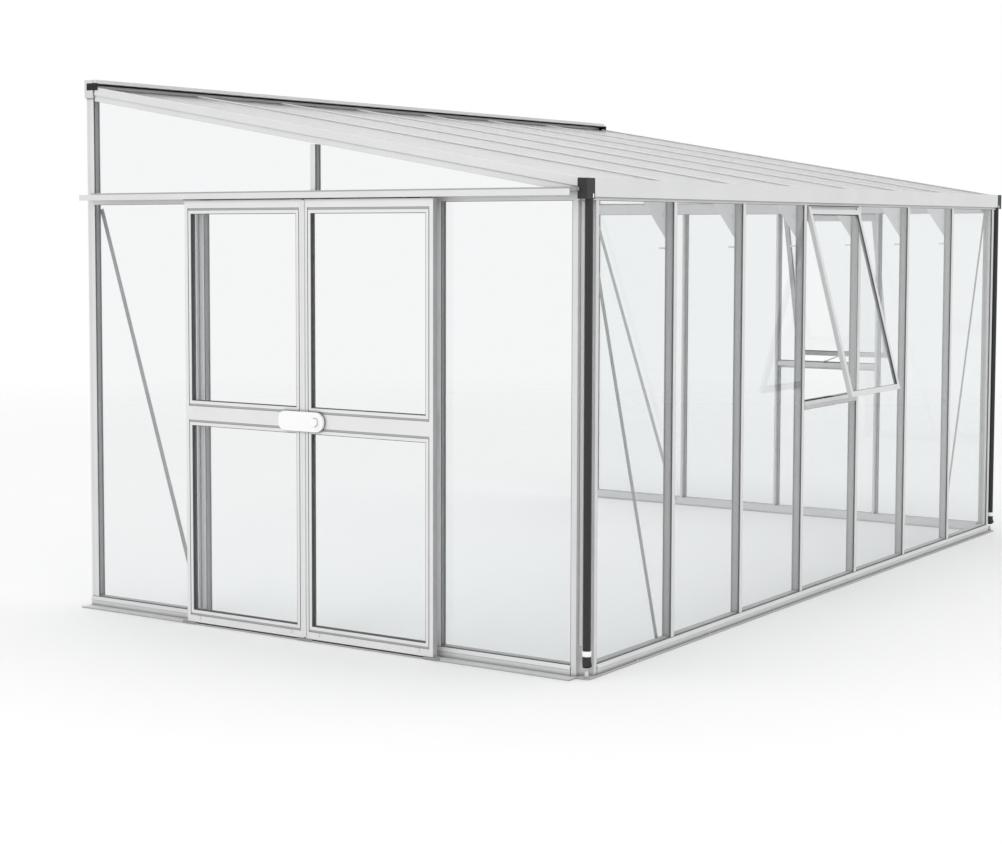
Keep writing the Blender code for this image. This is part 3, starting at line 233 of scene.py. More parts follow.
def skin_group():
    """Node group that gives the metal's tone, roughness and grain, and paints shade indoors and in corners."""
    group = bpy.data.node_groups.new("mill_skin", "ShaderNodeTree")
    sockets = group.interface
    for name, kind in (
        ("Pale", "NodeSocketColor"),
        ("Dark", "NodeSocketColor"),
        ("Roughness", "NodeSocketFloat"),
        ("Gable Glass", "NodeSocketFloat"),
        ("Eave Glass", "NodeSocketFloat"),
        ("Glass Shading", "NodeSocketFloat"),
        ("Room Shading", "NodeSocketFloat"),
        ("Corner Shade", "NodeSocketFloat"),
    ):
        sockets.new_socket(name=name, in_out="INPUT", socket_type=kind)
    for name, kind in (("Color", "NodeSocketColor"), ("Roughness", "NodeSocketFloat"), ("Height", "NodeSocketFloat")):
        sockets.new_socket(name=name, in_out="OUTPUT", socket_type=kind)
    add = group.nodes.new
    link = group.links.new
    start = add("NodeGroupInput")
    end = add("NodeGroupOutput")
    place = add("ShaderNodeTexCoord")
    clouds = add("ShaderNodeTexNoise")
    clouds.inputs["Scale"].default_value = 5.0
    clouds.inputs["Detail"].default_value = 6.0
    fine = add("ShaderNodeTexNoise")
    fine.inputs["Scale"].default_value = 320.0
    fine.inputs["Detail"].default_value = 3.0
    tone = add("ShaderNodeMath")
    tone.operation = "MULTIPLY_ADD"
    tone.inputs[1].default_value = 0.25
    blend = add("ShaderNodeMix")
    blend.data_type = "RGBA"
    rough = add("ShaderNodeMath")
    rough.operation = "MULTIPLY_ADD"
    rough.inputs[1].default_value = 0.18
    link(place.outputs["Object"], clouds.inputs["Vector"])
    link(place.outputs["Object"], fine.inputs["Vector"])
    link(fine.outputs["Fac"], tone.inputs[0])
    link(clouds.outputs["Fac"], tone.inputs[2])
    link(tone.outputs[0], blend.inputs["Factor"])
    link(start.outputs["Pale"], blend.inputs["A"])
    link(start.outputs["Dark"], blend.inputs["B"])
    link(clouds.outputs["Fac"], rough.inputs[0])
    link(start.outputs["Roughness"], rough.inputs[2])

    # Painted indoor shade: just beyond each glass plane the colour is scaled by one value, and deeper in by a second.
    axes = add("ShaderNodeSeparateXYZ")
    link(place.outputs["Object"], axes.inputs[0])
    masks = []
    for depth in (0.0, BAR_DEPTH):
        gable = band_mask(group, axes.outputs["X"], start.outputs["Gable Glass"], depth)
        eave = band_mask(group, axes.outputs["Y"], start.outputs["Eave Glass"], depth)
        masks.append(times(group, gable, eave))
    near = add("ShaderNodeMix")
    near.data_type = "FLOAT"
    near.inputs["A"].default_value = 1.0
    link(masks[0], near.inputs["Factor"])
    link(start.outputs["Glass Shading"], near.inputs["B"])
    deep = add("ShaderNodeMix")
    deep.data_type = "FLOAT"
    link(masks[1], deep.inputs["Factor"])
    link(near.outputs["Result"], deep.inputs["A"])
    link(start.outputs["Room Shading"], deep.inputs["B"])

    # Painted shade in corners and grooves: the Ambient Occlusion factor, raised to a power, darkens the colour.
    corners = add("ShaderNodeAmbientOcclusion")
    corners.samples = 8
    corners.inputs["Distance"].default_value = SHADE_REACH
    corner_shade = add("ShaderNodeMath")
    corner_shade.operation = "POWER"
    link(corners.outputs["AO"], corner_shade.inputs[0])
    link(start.outputs["Corner Shade"], corner_shade.inputs[1])
    shade = add("ShaderNodeVectorMath")
    shade.operation = "SCALE"
    link(blend.outputs["Result"], shade.inputs[0])
    link(times(group, deep.outputs["Result"], corner_shade.outputs[0]), shade.inputs["Scale"])
    link(shade.outputs["Vector"], end.inputs["Color"])
    link(rough.outputs[0], end.inputs["Roughness"])
    link(fine.outputs["Fac"], end.inputs["Height"])
    return group


mill_skin = skin_group()
print("Group sockets:", [item.name for item in mill_skin.interface.items_tree])

# %% [markdown]
# The frame's bars stand in the two glass walls, and the door leaves slide in front of the gable, so
# the leaves get a metal of their own, whose painted indoor shade starts at the grooves round their
# lights. The corner posts step in round the downpipes, so their outdoor faces reach further in, and
# their metal is a tone darker as painted shade for the corner. The bars of the roof lie above the
# glass and keep their full tone. Deep indoors the eave posts, the gusset plates among them, are
# painted brighter instead of shaded. The braces get the darkest painted indoor shade, the jambs a
# paler metal with little corner shade as painted light against the leaves' shadow, and the bolts are
# bright plated steel.

# %% Metals
FRAME_METAL = (0.745, 0.746, 0.751)
LEAF_METAL = (0.795, 0.796, 0.801)
# Painted shade: the corner posts' metal is a tone darker for the shade at the corner; small fittings share it.
SHADED_POST_METAL = (0.700, 0.702, 0.707)
BOLT_METAL = (0.900, 0.902, 0.905)
CLOUDED = 0.908
CORNER_STEP = 0.030
LEAF_DEPTH = 0.030
GROOVE_STEP = 0.0015


def metal(name, colour, gable_glass, eave_glass, glass_shading=0.62, room_shading=0.84, corner_shade=1.0):
    """Aluminium finish that reads the skin group. Its shading values paint shade on the bars indoors; a value of 1
    paints none, and a value above 1 paints them lighter.
    """
    material = bpy.data.materials.new(name)
    material.use_nodes = True
    tree = material.node_tree
    shader = tree.nodes["Principled BSDF"]
    shader.inputs["Metallic"].default_value = 0.35
    shader.inputs["Specular IOR Level"].default_value = 0.35
    skin = tree.nodes.new("ShaderNodeGroup")
    skin.node_tree = mill_skin
    skin.inputs["Pale"].default_value = (*colour, 1)
    skin.inputs["Dark"].default_value = (*(value * CLOUDED for value in colour), 1)
    skin.inputs["Roughness"].default_value = 0.42
    skin.inputs["Gable Glass"].default_value = gable_glass
    skin.inputs["Eave Glass"].default_value = eave_glass
    skin.inputs["Glass Shading"].default_value = glass_shading
    skin.inputs["Room Shading"].default_value = room_shading
    skin.inputs["Corner Shade"].default_value = corner_shade
    bump = tree.nodes.new("ShaderNodeBump")
    bump.inputs["Distance"].default_value = 0.0002
    bump.inputs["Strength"].default_value = 0.25
    tree.links.new(skin.outputs["Color"], shader.inputs["Base Color"])
    tree.links.new(skin.outputs["Roughness"], shader.inputs["Roughness"])
    tree.links.new(skin.outputs["Height"], bump.inputs["Height"])
    tree.links.new(bump.outputs["Normal"], shader.inputs["Normal"])
    return material


leaf_pane_low, leaf_pane_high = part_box("corner_side_leaf_lower_glass")
leaf_low, leaf_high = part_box("corner_side_leaf_frame")
leaf_groove = leaf_high.x - LEAF_DEPTH + GROOVE_STEP
mill_aluminium = metal("mill_aluminium", FRAME_METAL, corner_x, corner_y)
# Painted light: deep indoors the eave posts, gusset plates among them, are painted brighter rather than shaded.
post_aluminium = metal("post_aluminium", FRAME_METAL, corner_x, corner_y, room_shading=1.13, corner_shade=0.7)
roof_aluminium = metal("roof_aluminium", FRAME_METAL, corner_x, corner_y, glass_shading=1.0, room_shading=1.0, corner_shade=0.3)
# Painted shade: the braces, deep in the room, are painted darkest.
brace_aluminium = metal("brace_aluminium", FRAME_METAL, corner_x, corner_y, glass_shading=0.62, room_shading=0.58)
# Painted light: the jambs take the paler metal and little corner shade, against the leaves' shadow.
jamb_aluminium = metal("jamb_aluminium", LEAF_METAL, corner_x, corner_y, corner_shade=0.3)
# Painted shade: on the leaves the indoor shade starts at the grooves round the lights.
leaf_aluminium = metal("leaf_aluminium", LEAF_METAL, leaf_groove, corner_y, glass_shading=0.68)
# Painted shade: the darker corner metal, with its indoor masks moved in by the corner step.
corner_aluminium = metal("corner_aluminium", SHADED_POST_METAL, corner_x + CORNER_STEP, corner_y + CORNER_STEP)
bolt_steel = metal("bolt_steel", BOLT_METAL, corner_x, corner_y, glass_shading=1.0, room_shading=1.0, corner_shade=0.4)
print("Indoor tone starts at", round(corner_x, 3), "and, on the leaves, at", round(leaf_groove, 4))

# %% [markdown]
# Greenhouse glass is clear float glass: nearly invisible face on, greener at its edges, with soft
# reflections at a slant. The panes are real 4 mm sheets, so the shader refracts through both
# faces. For shadow rays it turns transparent, because light really does pass through the roof.

# %% Glass


def clear_glass(name, colour, roughness, mirror):
    """Float glass that lets the lamps through."""
    material = bpy.data.materials.new(name)
    material.use_nodes = True
    tree = material.node_tree
    shader = tree.nodes["Principled BSDF"]
    shader.inputs["Base Color"].default_value = (*colour, 1)
    shader.inputs["Roughness"].default_value = roughness
    shader.inputs["Specular Tint"].default_value = (*mirror, 1)
    shader.inputs["IOR"].default_value = 1.45
    shader.inputs["Transmission Weight"].default_value = 1.0
    shadow = tree.nodes.new("ShaderNodeBsdfTransparent")
    shadow.inputs["Color"].default_value = (0.94, 0.95, 0.95, 1)
    path = tree.nodes.new("ShaderNodeLightPath")
    mix = tree.nodes.new("ShaderNodeMixShader")
    output = tree.nodes["Material Output"]
    tree.links.new(path.outputs["Is Shadow Ray"], mix.inputs["Fac"])
    tree.links.new(shader.outputs["BSDF"], mix.inputs[1])
    tree.links.new(shadow.outputs["BSDF"], mix.inputs[2])
    tree.links.new(mix.outputs[0], output.inputs["Surface"])
    return material


float_glass = clear_glass("float_glass", (0.905, 0.920, 0.925), 0.0, (1.0, 1.0, 1.0))
roof_glass_finish = clear_glass("roof_glass_finish", (0.90, 0.91, 0.91), 0.22, (1.0, 1.0, 1.0))
print("Glass finishes:", float_glass.name, roof_glass_finish.name)

# %% [markdown]
# The pipes, rubbers and small fittings are moulded plastic: one even colour with a fine grain that
# a Bump node takes from a small noise. The rubbers differ in tone, since some are weathered pale.

# %% Plastics


def plastic(name, colour, roughness, grain, shine=0.5):
    """Moulded plastic with a fine grain."""
    material = bpy.data.materials.new(name)
    material.use_nodes = True
    tree = material.node_tree
    shader = tree.nodes["Principled BSDF"]
    shader.inputs["Base Color"].default_value = (*colour, 1)
    shader.inputs["Roughness"].default_value = roughness
    shader.inputs["Specular IOR Level"].default_value = shine
    place = tree.nodes.new("ShaderNodeTexCoord")
    noise = tree.nodes.new("ShaderNodeTexNoise")
    noise.inputs["Scale"].default_value = 900.0
    bump = tree.nodes.new("ShaderNodeBump")
    bump.inputs["Distance"].default_value = 0.0002
    bump.inputs["Strength"].default_value = grain
    tree.links.new(place.outputs["Object"], noise.inputs["Vector"])
    tree.links.new(noise.outputs["Fac"], bump.inputs["Height"])
    tree.links.new(bump.outputs["Normal"], shader.inputs["Normal"])
    return material


pipe_plastic = plastic("pipe_plastic", (0.030, 0.030, 0.030), 0.5, 0.3, 0.25)
latch_plastic = plastic("latch_plastic", (0.90, 0.90, 0.90), 0.35, 0.1)
rubber = plastic("glazing_rubber", (0.020, 0.020, 0.020), 0.75, 0.2, 0.3)
leaf_rubber = plastic("leaf_rubber", (0.09, 0.09, 0.09), 0.75, 0.2)
grey_rubber = plastic("weathered_rubber", (0.19, 0.19, 0.19), 0.8, 0.2)
pale_rubber = plastic("roof_rubber", (0.56, 0.56, 0.56), 0.8, 0.2)
print("Rubbers:", [item.name for item in (rubber, leaf_rubber, grey_rubber, pale_rubber)])

# %% [markdown]
# The record says which slot each CAD node has, so most nodes take the slot's finish. The leaves,
# posts, jambs, braces and roof bars then get their own metals, and the roof its duller glass.

# %% Dress the CAD nodes
finishes = {
    "frame_aluminium": mill_aluminium,
    "clear_glass": float_glass,
    "black_plastic": pipe_plastic,
    "white_plastic": latch_plastic,
}
slots = {item["node"]: item["material_slot"] for item in frame["record"]["subparts"]}
for name, node in nodes.items():
    node.data.materials.clear()
    node.data.materials.append(finishes[slots[name]])
for name in ("wall_side_leaf_frame", "corner_side_leaf_frame"):
    nodes[name].data.materials[0] = leaf_aluminium
for name in ("corner_post_door_end", "corner_post_far_end"):
    nodes[name].data.materials[0] = corner_aluminium
for name in ("door_jamb_corner_side", "door_jamb_wall_side"):
    nodes[name].data.materials[0] = jamb_aluminium
for name in nodes:
    if name.startswith("eave_post"):
        nodes[name].data.materials[0] = post_aluminium
    elif name.startswith("brace"):
        nodes[name].data.materials[0] = brace_aluminium
    elif name.startswith(("roof_bar", "end_rafter", "wall_plate")):
        nodes[name].data.materials[0] = roof_aluminium
nodes["roof_glass"].data.materials[0] = roof_glass_finish
print("Dressed:", len(slots))

# %% [markdown]
# The fittings are modelled the way they would be by hand: a block is added at its size and place,
# and then it is shaped in edit mode. These helpers start a block alone in the selection, pick faces
# or edges by where they are and which way they look, and finish a piece: doubles merged, faces
# turned outward, finish given, and the piece tied to the body that carries it.

# %% Modelling helpers


def new_block(name, low, high):
    """Box between two corners, with its place in its mesh, alone in the selection."""
    low, high = Vector(low), Vector(high)
    bpy.ops.object.select_all(action="DESELECT")
    bpy.ops.mesh.primitive_cube_add(size=1, location=(low + high) / 2)
    block = bpy.context.object
    block.name = name
    block.scale = high - low
    bpy.ops.object.transform_apply(location=True, rotation=True, scale=True)
    return block


def new_cylinder(name, sides, radius, depth, place, rotation=(0, 0, 0)):
    """Cylinder round a middle point, with its place in its mesh, alone in the selection."""
    bpy.ops.object.select_all(action="DESELECT")
    bpy.ops.mesh.primitive_cylinder_add(vertices=sides, radius=radius, depth=depth, location=place, rotation=rotation)
    cylinder = bpy.context.object
    cylinder.name = name
    bpy.ops.object.transform_apply(location=True, rotation=True, scale=True)
    return cylinder


def edit(piece):
    """Opens edit mode on a piece that is alone in the selection."""
    bpy.ops.object.select_all(action="DESELECT")
    piece.select_set(True)
    bpy.context.view_layer.objects.active = piece
    bpy.ops.object.mode_set(mode="EDIT")
    bpy.ops.mesh.select_mode(type="FACE")
    bpy.ops.mesh.select_all(action="DESELECT")


def pick_faces(test):
    """In edit mode, selects the faces whose middle and normal pass the test."""
    bpy.ops.mesh.select_mode(type="FACE")
    bpy.ops.mesh.select_all(action="DESELECT")
    mesh = bmesh.from_edit_mesh(bpy.context.object.data)
    for face in mesh.faces:
        if test(face.calc_center_median(), face.normal):
            face.select_set(True)
    bmesh.update_edit_mesh(bpy.context.object.data)


def pick_edges(test):
    """In edit mode, selects the edges whose middle and direction pass the test."""
    bpy.ops.mesh.select_mode(type="EDGE")
    bpy.ops.mesh.select_all(action="DESELECT")
    mesh = bmesh.from_edit_mesh(bpy.context.object.data)
    for edge in mesh.edges:
        start, end = (corner.co for corner in edge.verts)
        if test((start + end) / 2, (end - start).normalized()):
            edge.select_set(True)
    bmesh.update_edit_mesh(bpy.context.object.data)


def bevel_edges(test, offset, segments):
    """In edit mode, bevels the edges that pass the test."""
    pick_edges(test)
    bpy.ops.mesh.bevel(offset=offset, segments=segments, affect="EDGES")


def turn(angle, axis, centre):
    """In edit mode, turns the whole piece about an axis. The operator's own sign is the other way."""
    bpy.ops.mesh.select_all(action="SELECT")
    bpy.ops.transform.rotate(value=-angle, orient_axis=axis, orient_type="GLOBAL", center_override=centre)


def finish_piece(piece, material, body="frame"):
    """Cleans the mesh, gives it its finish, and ties the piece to its body."""
    if bpy.context.mode != "EDIT_MESH":
        edit(piece)
    bpy.ops.mesh.select_all(action="SELECT")
    bpy.ops.mesh.remove_doubles(threshold=0.00001)
    bpy.ops.mesh.normals_make_consistent(inside=False)
    bpy.ops.object.mode_set(mode="OBJECT")
    bpy.ops.object.shade_smooth_by_angle(angle=math.radians(35))
    piece.data.materials.append(material)
    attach(piece, body)
    return piece


def copy_piece(piece, name, shift, body="frame"):
    """Copy with its own mesh, moved by a shift."""
    twin = piece.copy()
    twin.data = piece.data.copy()
    twin.name = name
    twin.data.transform(Matrix.Translation(shift))
    bpy.context.scene.collection.objects.link(twin)
    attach(twin, body)
    return twin


def mirrored_copy(piece, name, middle_x):
    """Copy mirrored along X about a plane, with its faces turned outward again."""
    twin = copy_piece(piece, name, (0, 0, 0))
    edit(twin)
    bpy.ops.mesh.select_all(action="SELECT")
    bpy.ops.transform.resize(value=(-1, 1, 1), center_override=(middle_x, 0, 0))
    bpy.ops.mesh.normals_make_consistent(inside=False)
    bpy.ops.object.mode_set(mode="OBJECT")
    return twin


# %% [markdown]
# Every pane is held by a black rubber strip that runs round it, between the glass and the lips of
# the bars. Only its edge shows, as a dark line beside each bar; that line is partly the rubber and
# partly painted shade, standing in for the shadow of the bars' caps. A ring is made from a block with
# the pane's outline: the front and back faces are inset by the strip's width, and the two inner
# loops are bridged, which opens the block. Bays of one size share one ring, copied along the wall.

# %% Rubber rings of the eave wall
RUBBER_WIDTH = 0.0020
RUBBER_THICKNESS = 0.0027
AIR = 0.0001


def rubber_ring(name, low, high, axis, body="frame", finish=grey_rubber):
    """Ring round the outline of a thin box that is thin along one axis."""
    ring = new_block(name, low, high)
    edit(ring)
    pick_faces(lambda middle, normal: abs(normal[axis]) > 0.9)
    bpy.ops.mesh.inset(thickness=RUBBER_WIDTH)
    bpy.ops.mesh.bridge_edge_loops()
    return finish_piece(ring, finish, body)


rail_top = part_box("base_rail_eave")[1].z
gutter_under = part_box("gutter")[0].z
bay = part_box("eave_post_2")[0].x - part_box("eave_post_1")[0].x
first_bay = (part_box("corner_post_door_end")[1].x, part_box("eave_post_1")[0].x)
eave_front = corner_y - AIR
# Partly painted shade: the rings' dark edge also stands in for the shadow of the bars' caps.
ring = rubber_ring(
    "eave_rubber_1",
    (first_bay[0] + AIR, eave_front - RUBBER_THICKNESS, rail_top + AIR),
    (first_bay[1] - AIR, eave_front, gutter_under - AIR),
    axis=1,
)
for number in (2, 3, 5, 6, 7):
    copy_piece(ring, "eave_rubber_%d" % number, (bay * (number - 1), 0, 0))
sill_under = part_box("eave_vent_sill")[0].z
rubber_ring(
    "eave_rubber_below_vent",
    (first_bay[0] + 3 * bay + AIR, eave_front - RUBBER_THICKNESS, rail_top + AIR),
    (first_bay[1] + 3 * bay - AIR, eave_front, sill_under - AIR),
    axis=1,
)
print("Bay:", round(bay, 3), "rings along the eave: 7, triangles each:", len(ring.data.polygons) * 2)

# %% [markdown]
# The gables' rings are made in the same way, with their thin side along X. The door gable has one
# beside each jamb, and the far gable has three full ones and a short one below its vent.

# %% Rubber rings of the two gables
header_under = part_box("door_header_rail")[0].z
far_header_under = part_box("far_end_header")[0].z
gable_front = corner_x - AIR
far_front = far_x + AIR
rubber_ring(
    "door_end_rubber_corner_side",
    (gable_front - RUBBER_THICKNESS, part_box("corner_post_door_end")[1].y + AIR, rail_top + AIR),
    (gable_front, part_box("door_jamb_corner_side")[0].y - AIR, header_under - AIR),
    axis=0,
)
rubber_ring(
    "door_end_rubber_wall_side",
    (gable_front - RUBBER_THICKNESS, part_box("door_jamb_wall_side")[1].y + AIR, rail_top + AIR),
    (gable_front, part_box("wall_post_door_end")[0].y - AIR, header_under - AIR),
    axis=0,
)
far_low = (far_front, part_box("corner_post_far_end")[1].y + AIR, rail_top + AIR)
far_high = (far_front + RUBBER_THICKNESS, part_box("far_end_post_1")[0].y - AIR, far_header_under - AIR)
ring = rubber_ring("far_end_rubber_1", far_low, far_high, axis=0)
for number in (3, 4):
    copy_piece(ring, "far_end_rubber_%d" % number, (0, bay * (number - 1), 0))
far_high = (far_high[0], far_high[1] + bay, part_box("far_vent_sill")[0].z - AIR)
rubber_ring("far_end_rubber_below_vent", (far_low[0], far_low[1] + bay, far_low[2]), far_high, axis=0)
print("Rings in the gables: 6")

# %% [markdown]
# On the roof the strips lie beside the bars only, for the panes' lower edges are free to drain. A
# strip is a bevelled block made level, then turned to the slope of the glass about its lower end.
# The slope is measured on the roof glass itself.

# %% Rubber strips of the roof
STRIP_START = 0.002
STRIP_SHORTER = 0.012
roof_points = [vertex.co for vertex in nodes["roof_glass"].data.vertices]
eave_edge = min(point.y for point in roof_points)
roof_foot = max((point for point in roof_points if point.y < eave_edge + 0.0001), key=lambda point: point.z)
roof_head = max(roof_points, key=lambda point: point.z)
roof_slope = math.atan2(roof_head.z - roof_foot.z, roof_head.y - roof_foot.y)
strip_length = (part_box("roof_bar_1")[1].y - roof_foot.y) / math.cos(roof_slope) - STRIP_SHORTER
print("Roof slope:", round(math.degrees(roof_slope), 2), "degrees")

bar_low, bar_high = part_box("roof_bar_1")
strip = new_block(
    "roof_rubber_1_left",
    (bar_low.x - AIR - RUBBER_WIDTH, roof_foot.y + STRIP_START, roof_foot.z + AIR),
    (bar_low.x - AIR, roof_foot.y + STRIP_START + strip_length, roof_foot.z + AIR + RUBBER_THICKNESS),
)
edit(strip)
bevel_edges(lambda middle, way: abs(way.y) > 0.9 and middle.z > roof_foot.z + RUBBER_THICKNESS / 2, 0.0007, 2)
turn(roof_slope, "X", (0, roof_foot.y, roof_foot.z))
finish_piece(strip, pale_rubber)
strip_top = max(vertex.co.z for vertex in strip.data.vertices)
print("Strip rises to", round(strip_top, 4), "glass at", round(roof_head.z, 4))
bar_width = bar_high.x - bar_low.x + 2 * AIR + RUBBER_WIDTH
for number in range(1, 7):
    if number > 1:
        copy_piece(strip, "roof_rubber_%d_left" % number, (bay * (number - 1), 0, 0))
    copy_piece(strip, "roof_rubber_%d_right" % number, (bay * (number - 1) + bar_width, 0, 0))

# %% [markdown]
# Where the roof meets the wall plate a black seal closes the gap over the glass. It is a long
# bevelled block that fills the recess under the plate's flange. At each end a black cap wraps round
# the plate's end: a plate with rounded corners and a raised face.

# %% Seal under the wall plate
plate_low, plate_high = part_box("wall_plate")
FLANGE_UNDER = 2.383
SEAL_UNDER = 2.3765
SEAL_DEPTH = 0.016
SEAL_END = 0.004
ledge_back = corner_y + 2.6015
seal = new_block(
    "wall_seal",
    (plate_low.x + SEAL_END, ledge_back - SEAL_DEPTH, SEAL_UNDER),
    (plate_high.x - SEAL_END, ledge_back - AIR, FLANGE_UNDER - AIR),
)
edit(seal)
bevel_edges(lambda middle, way: abs(way.x) > 0.9 and middle.y < ledge_back - SEAL_DEPTH + 0.004, 0.002, 3)
finish_piece(seal, rubber)
print("Seal length:", round(plate_high.x - plate_low.x - 2 * SEAL_END, 3))

# %% [markdown]
# The cap's outer face is inset and moved out a little, so that its rim is stepped as on a moulding.
# It is made at the door end and mirrored for the far end.

# %% End caps of the seal
CAP_THICKNESS = 0.003
CAP_UNDER = 2.352
cap = new_block(
    "wall_seal_cap_door_end",
    (plate_low.x - AIR - CAP_THICKNESS, ledge_back - 0.052, CAP_UNDER),
    (plate_low.x - AIR, ledge_back + 0.014, FLANGE_UNDER + 0.001),
)
edit(cap)
bevel_edges(lambda middle, way: abs(way.x) > 0.9, 0.004, 3)
pick_faces(lambda middle, normal: normal.x < -0.9)
bpy.ops.mesh.inset(thickness=0.003)
bpy.ops.transform.translate(value=(-0.0006, 0, 0))
finish_piece(cap, rubber)
plate_middle = (plate_low.x + plate_high.x) / 2
mirrored_copy(cap, "wall_seal_cap_far_end", plate_middle)
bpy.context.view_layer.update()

# %% [markdown]
# A white clip holds each downpipe above its outlet. It starts as a cylinder a little wider than
# the pipe; both ends are inset and bridged to open it into a ring, and a small ear for the screw is
# extruded from the side that faces the corner post.

# %% Pipe clips
pipe_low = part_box("downpipe_door_end")[0]
PIPE_RADIUS = 0.0155
CLIP_WALL = 0.0022
CLIP_HEIGHT = 0.021
CLIP_LEVEL = 0.0985
CLIP_RADIUS = PIPE_RADIUS + 0.0003 + CLIP_WALL
pipe_middle = at(0, 0, CLIP_LEVEL)
clip = new_cylinder("pipe_clip_door_end", 48, CLIP_RADIUS, CLIP_HEIGHT, pipe_middle)
edit(clip)
pick_faces(lambda middle, normal: abs(normal.z) > 0.9)
bpy.ops.mesh.inset(thickness=CLIP_WALL)
bpy.ops.mesh.bridge_edge_loops()
rims = (CLIP_LEVEL - CLIP_HEIGHT / 2, CLIP_LEVEL + CLIP_HEIGHT / 2)
bevel_edges(lambda middle, way: abs(way.z) < 0.1 and min(abs(middle.z - rim) for rim in rims) < 0.0001, 0.0005, 2)
ear_start = pipe_middle.x + pipe_middle.y + 0.022
pick_faces(lambda middle, normal: normal.x > 0.6 and normal.y > 0.6 and middle.x + middle.y > ear_start)
bpy.ops.mesh.extrude_region_move(TRANSFORM_OT_translate={"value": (0.004, 0.004, 0)})
finish_piece(clip, latch_plastic)
copy_piece(clip, "pipe_clip_far_end", (length, 0, 0))
print("Clip:", round(clip.dimensions.x, 4), "m wide")

# %% [markdown]
# Under each clip the pipe ends in a short shoe. The near one leans a little along the eave, and the
# far one leans well out, away from the corner. A shoe is a cylinder whose lower end is inset and
# pushed up to hollow it, widened a little at its lip and then turned. A small drain stud stands on
# the foot plate under it.

# %% Pipe shoes and drain studs
SHOE_TOP = 0.066
SHOE_FOOT = 0.050
SHOE_RADIUS = 0.0176
SHOE_LIP = 0.003
NEAR_LEAN = 14
FAR_LEAN = 34
STUD_RADIUS = 0.008
STUD_HEIGHT = 0.016
STUD_LEVEL = 0.0125

for side, along, lean in (("door_end", 0.0, NEAR_LEAN), ("far_end", length, FAR_LEAN)):
    shoe_middle = at(along, 0, (SHOE_TOP + SHOE_FOOT) / 2)
    shoe = new_cylinder("pipe_shoe_" + side, 40, SHOE_RADIUS, SHOE_TOP - SHOE_FOOT, shoe_middle)
    edit(shoe)
    pick_faces(lambda middle, normal: normal.z < -0.9)
    bpy.ops.mesh.extrude_region_move(TRANSFORM_OT_translate={"value": (0, 0, -SHOE_LIP)})
    bpy.ops.transform.resize(value=(1.06, 1.06, 1))
    bpy.ops.mesh.inset(thickness=SHOE_LIP)
    bpy.ops.transform.translate(value=(0, 0, 2 * SHOE_LIP))
    turn(-math.radians(lean), "Y", at(along, 0, SHOE_TOP))
    finish_piece(shoe, rubber)
    stud = new_cylinder("drain_stud_" + side, 24, STUD_RADIUS, STUD_HEIGHT, at(along, 0, STUD_LEVEL))
    edit(stud)
    pick_faces(lambda middle, normal: normal.z > 0.9)
    bpy.ops.mesh.inset(thickness=0.003)
    bpy.ops.transform.translate(value=(0, 0, 0.010))
    finish_piece(stud, corner_aluminium)
print("Shoes reach down to", round(min(vertex.co.z for vertex in shoe.data.vertices), 4))

# %% [markdown]
# The four lights of the door leaves have a deeper black rubber channel, which shows as a dark
# reveal on the left of each light when the picture is taken from the right. Lining the channel's
# whole depth, its near black is partly the rubber and partly painted shade for that reveal. The same
# ring is made in front of each pane and copied behind it. The two leaves are alike, so the rings made
# on the corner side leaf are copied to the other one.

# %% Rubber in the leaves
CHANNEL_SETBACK = 0.0012
pane_middle_x = (leaf_pane_low.x + leaf_pane_high.x) / 2
leaf_front = pane_middle_x - LEAF_DEPTH / 2
leaf_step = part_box("wall_side_leaf_lower_glass")[0].y - leaf_pane_low.y
# Partly painted shade: the near black lining stands in for the shade in the lights' reveals.
for level in ("lower", "upper"):
    low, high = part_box("corner_side_leaf_%s_glass" % level)
    ring = rubber_ring(
        "corner_side_leaf_%s_rubber" % level,
        (leaf_front + CHANNEL_SETBACK, low.y, low.z),
        (low.x - AIR, high.y, high.z),
        axis=0,
        body="corner_side_leaf",
        finish=leaf_rubber,
    )
    back_shift = high.x - low.x + 2 * AIR + (low.x - AIR - leaf_front - CHANNEL_SETBACK)
    copy_piece(ring, "wall_side_leaf_%s_rubber" % level, (0, leaf_step, 0), "wall_side_leaf")
    for side, shift in (("corner", 0), ("wall", leaf_step)):
        leaf = side + "_side_leaf"
        twin = copy_piece(ring, "%s_%s_back_rubber" % (leaf, level), (back_shift, shift, 0), leaf)
        twin.data.materials[0] = grey_rubber
print("Leaf rings: 8, leaves", round(leaf_step, 4), "apart")

# %% [markdown]
# A pale strip on the wall side leaf covers the gap where the leaves meet. It is a long block whose
# front edges are bevelled and whose face is inset to give the two fine lines along it. Guide blocks
# on the track keep the leaves' feet in line.

# %% Meeting strip and guide blocks
MEETING_HALF = 0.0075
GUIDE_HALF = 0.038
leaf_points = [vertex.co for vertex in nodes["wall_side_leaf_frame"].data.vertices]
leaf_top = max(point.z for point in leaf_points if abs(point.x - leaf_front) < 0.0002)
meeting_y = (leaf_high.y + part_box("wall_side_leaf_frame")[0].y) / 2
strip = new_block(
    "meeting_strip",
    (leaf_front - 0.0024, meeting_y - MEETING_HALF, leaf_low.z + 0.006),
    (leaf_front - AIR, meeting_y + MEETING_HALF, leaf_top - 0.004),
)
edit(strip)
bevel_edges(lambda middle, way: abs(way.z) > 0.9 and middle.x < leaf_front - 0.002, 0.0012, 2)
pick_faces(lambda middle, normal: normal.x < -0.95)
bpy.ops.mesh.inset(thickness=0.0020)
bpy.ops.transform.translate(value=(0.0009, 0, 0))
finish_piece(strip, leaf_aluminium, "wall_side_leaf")

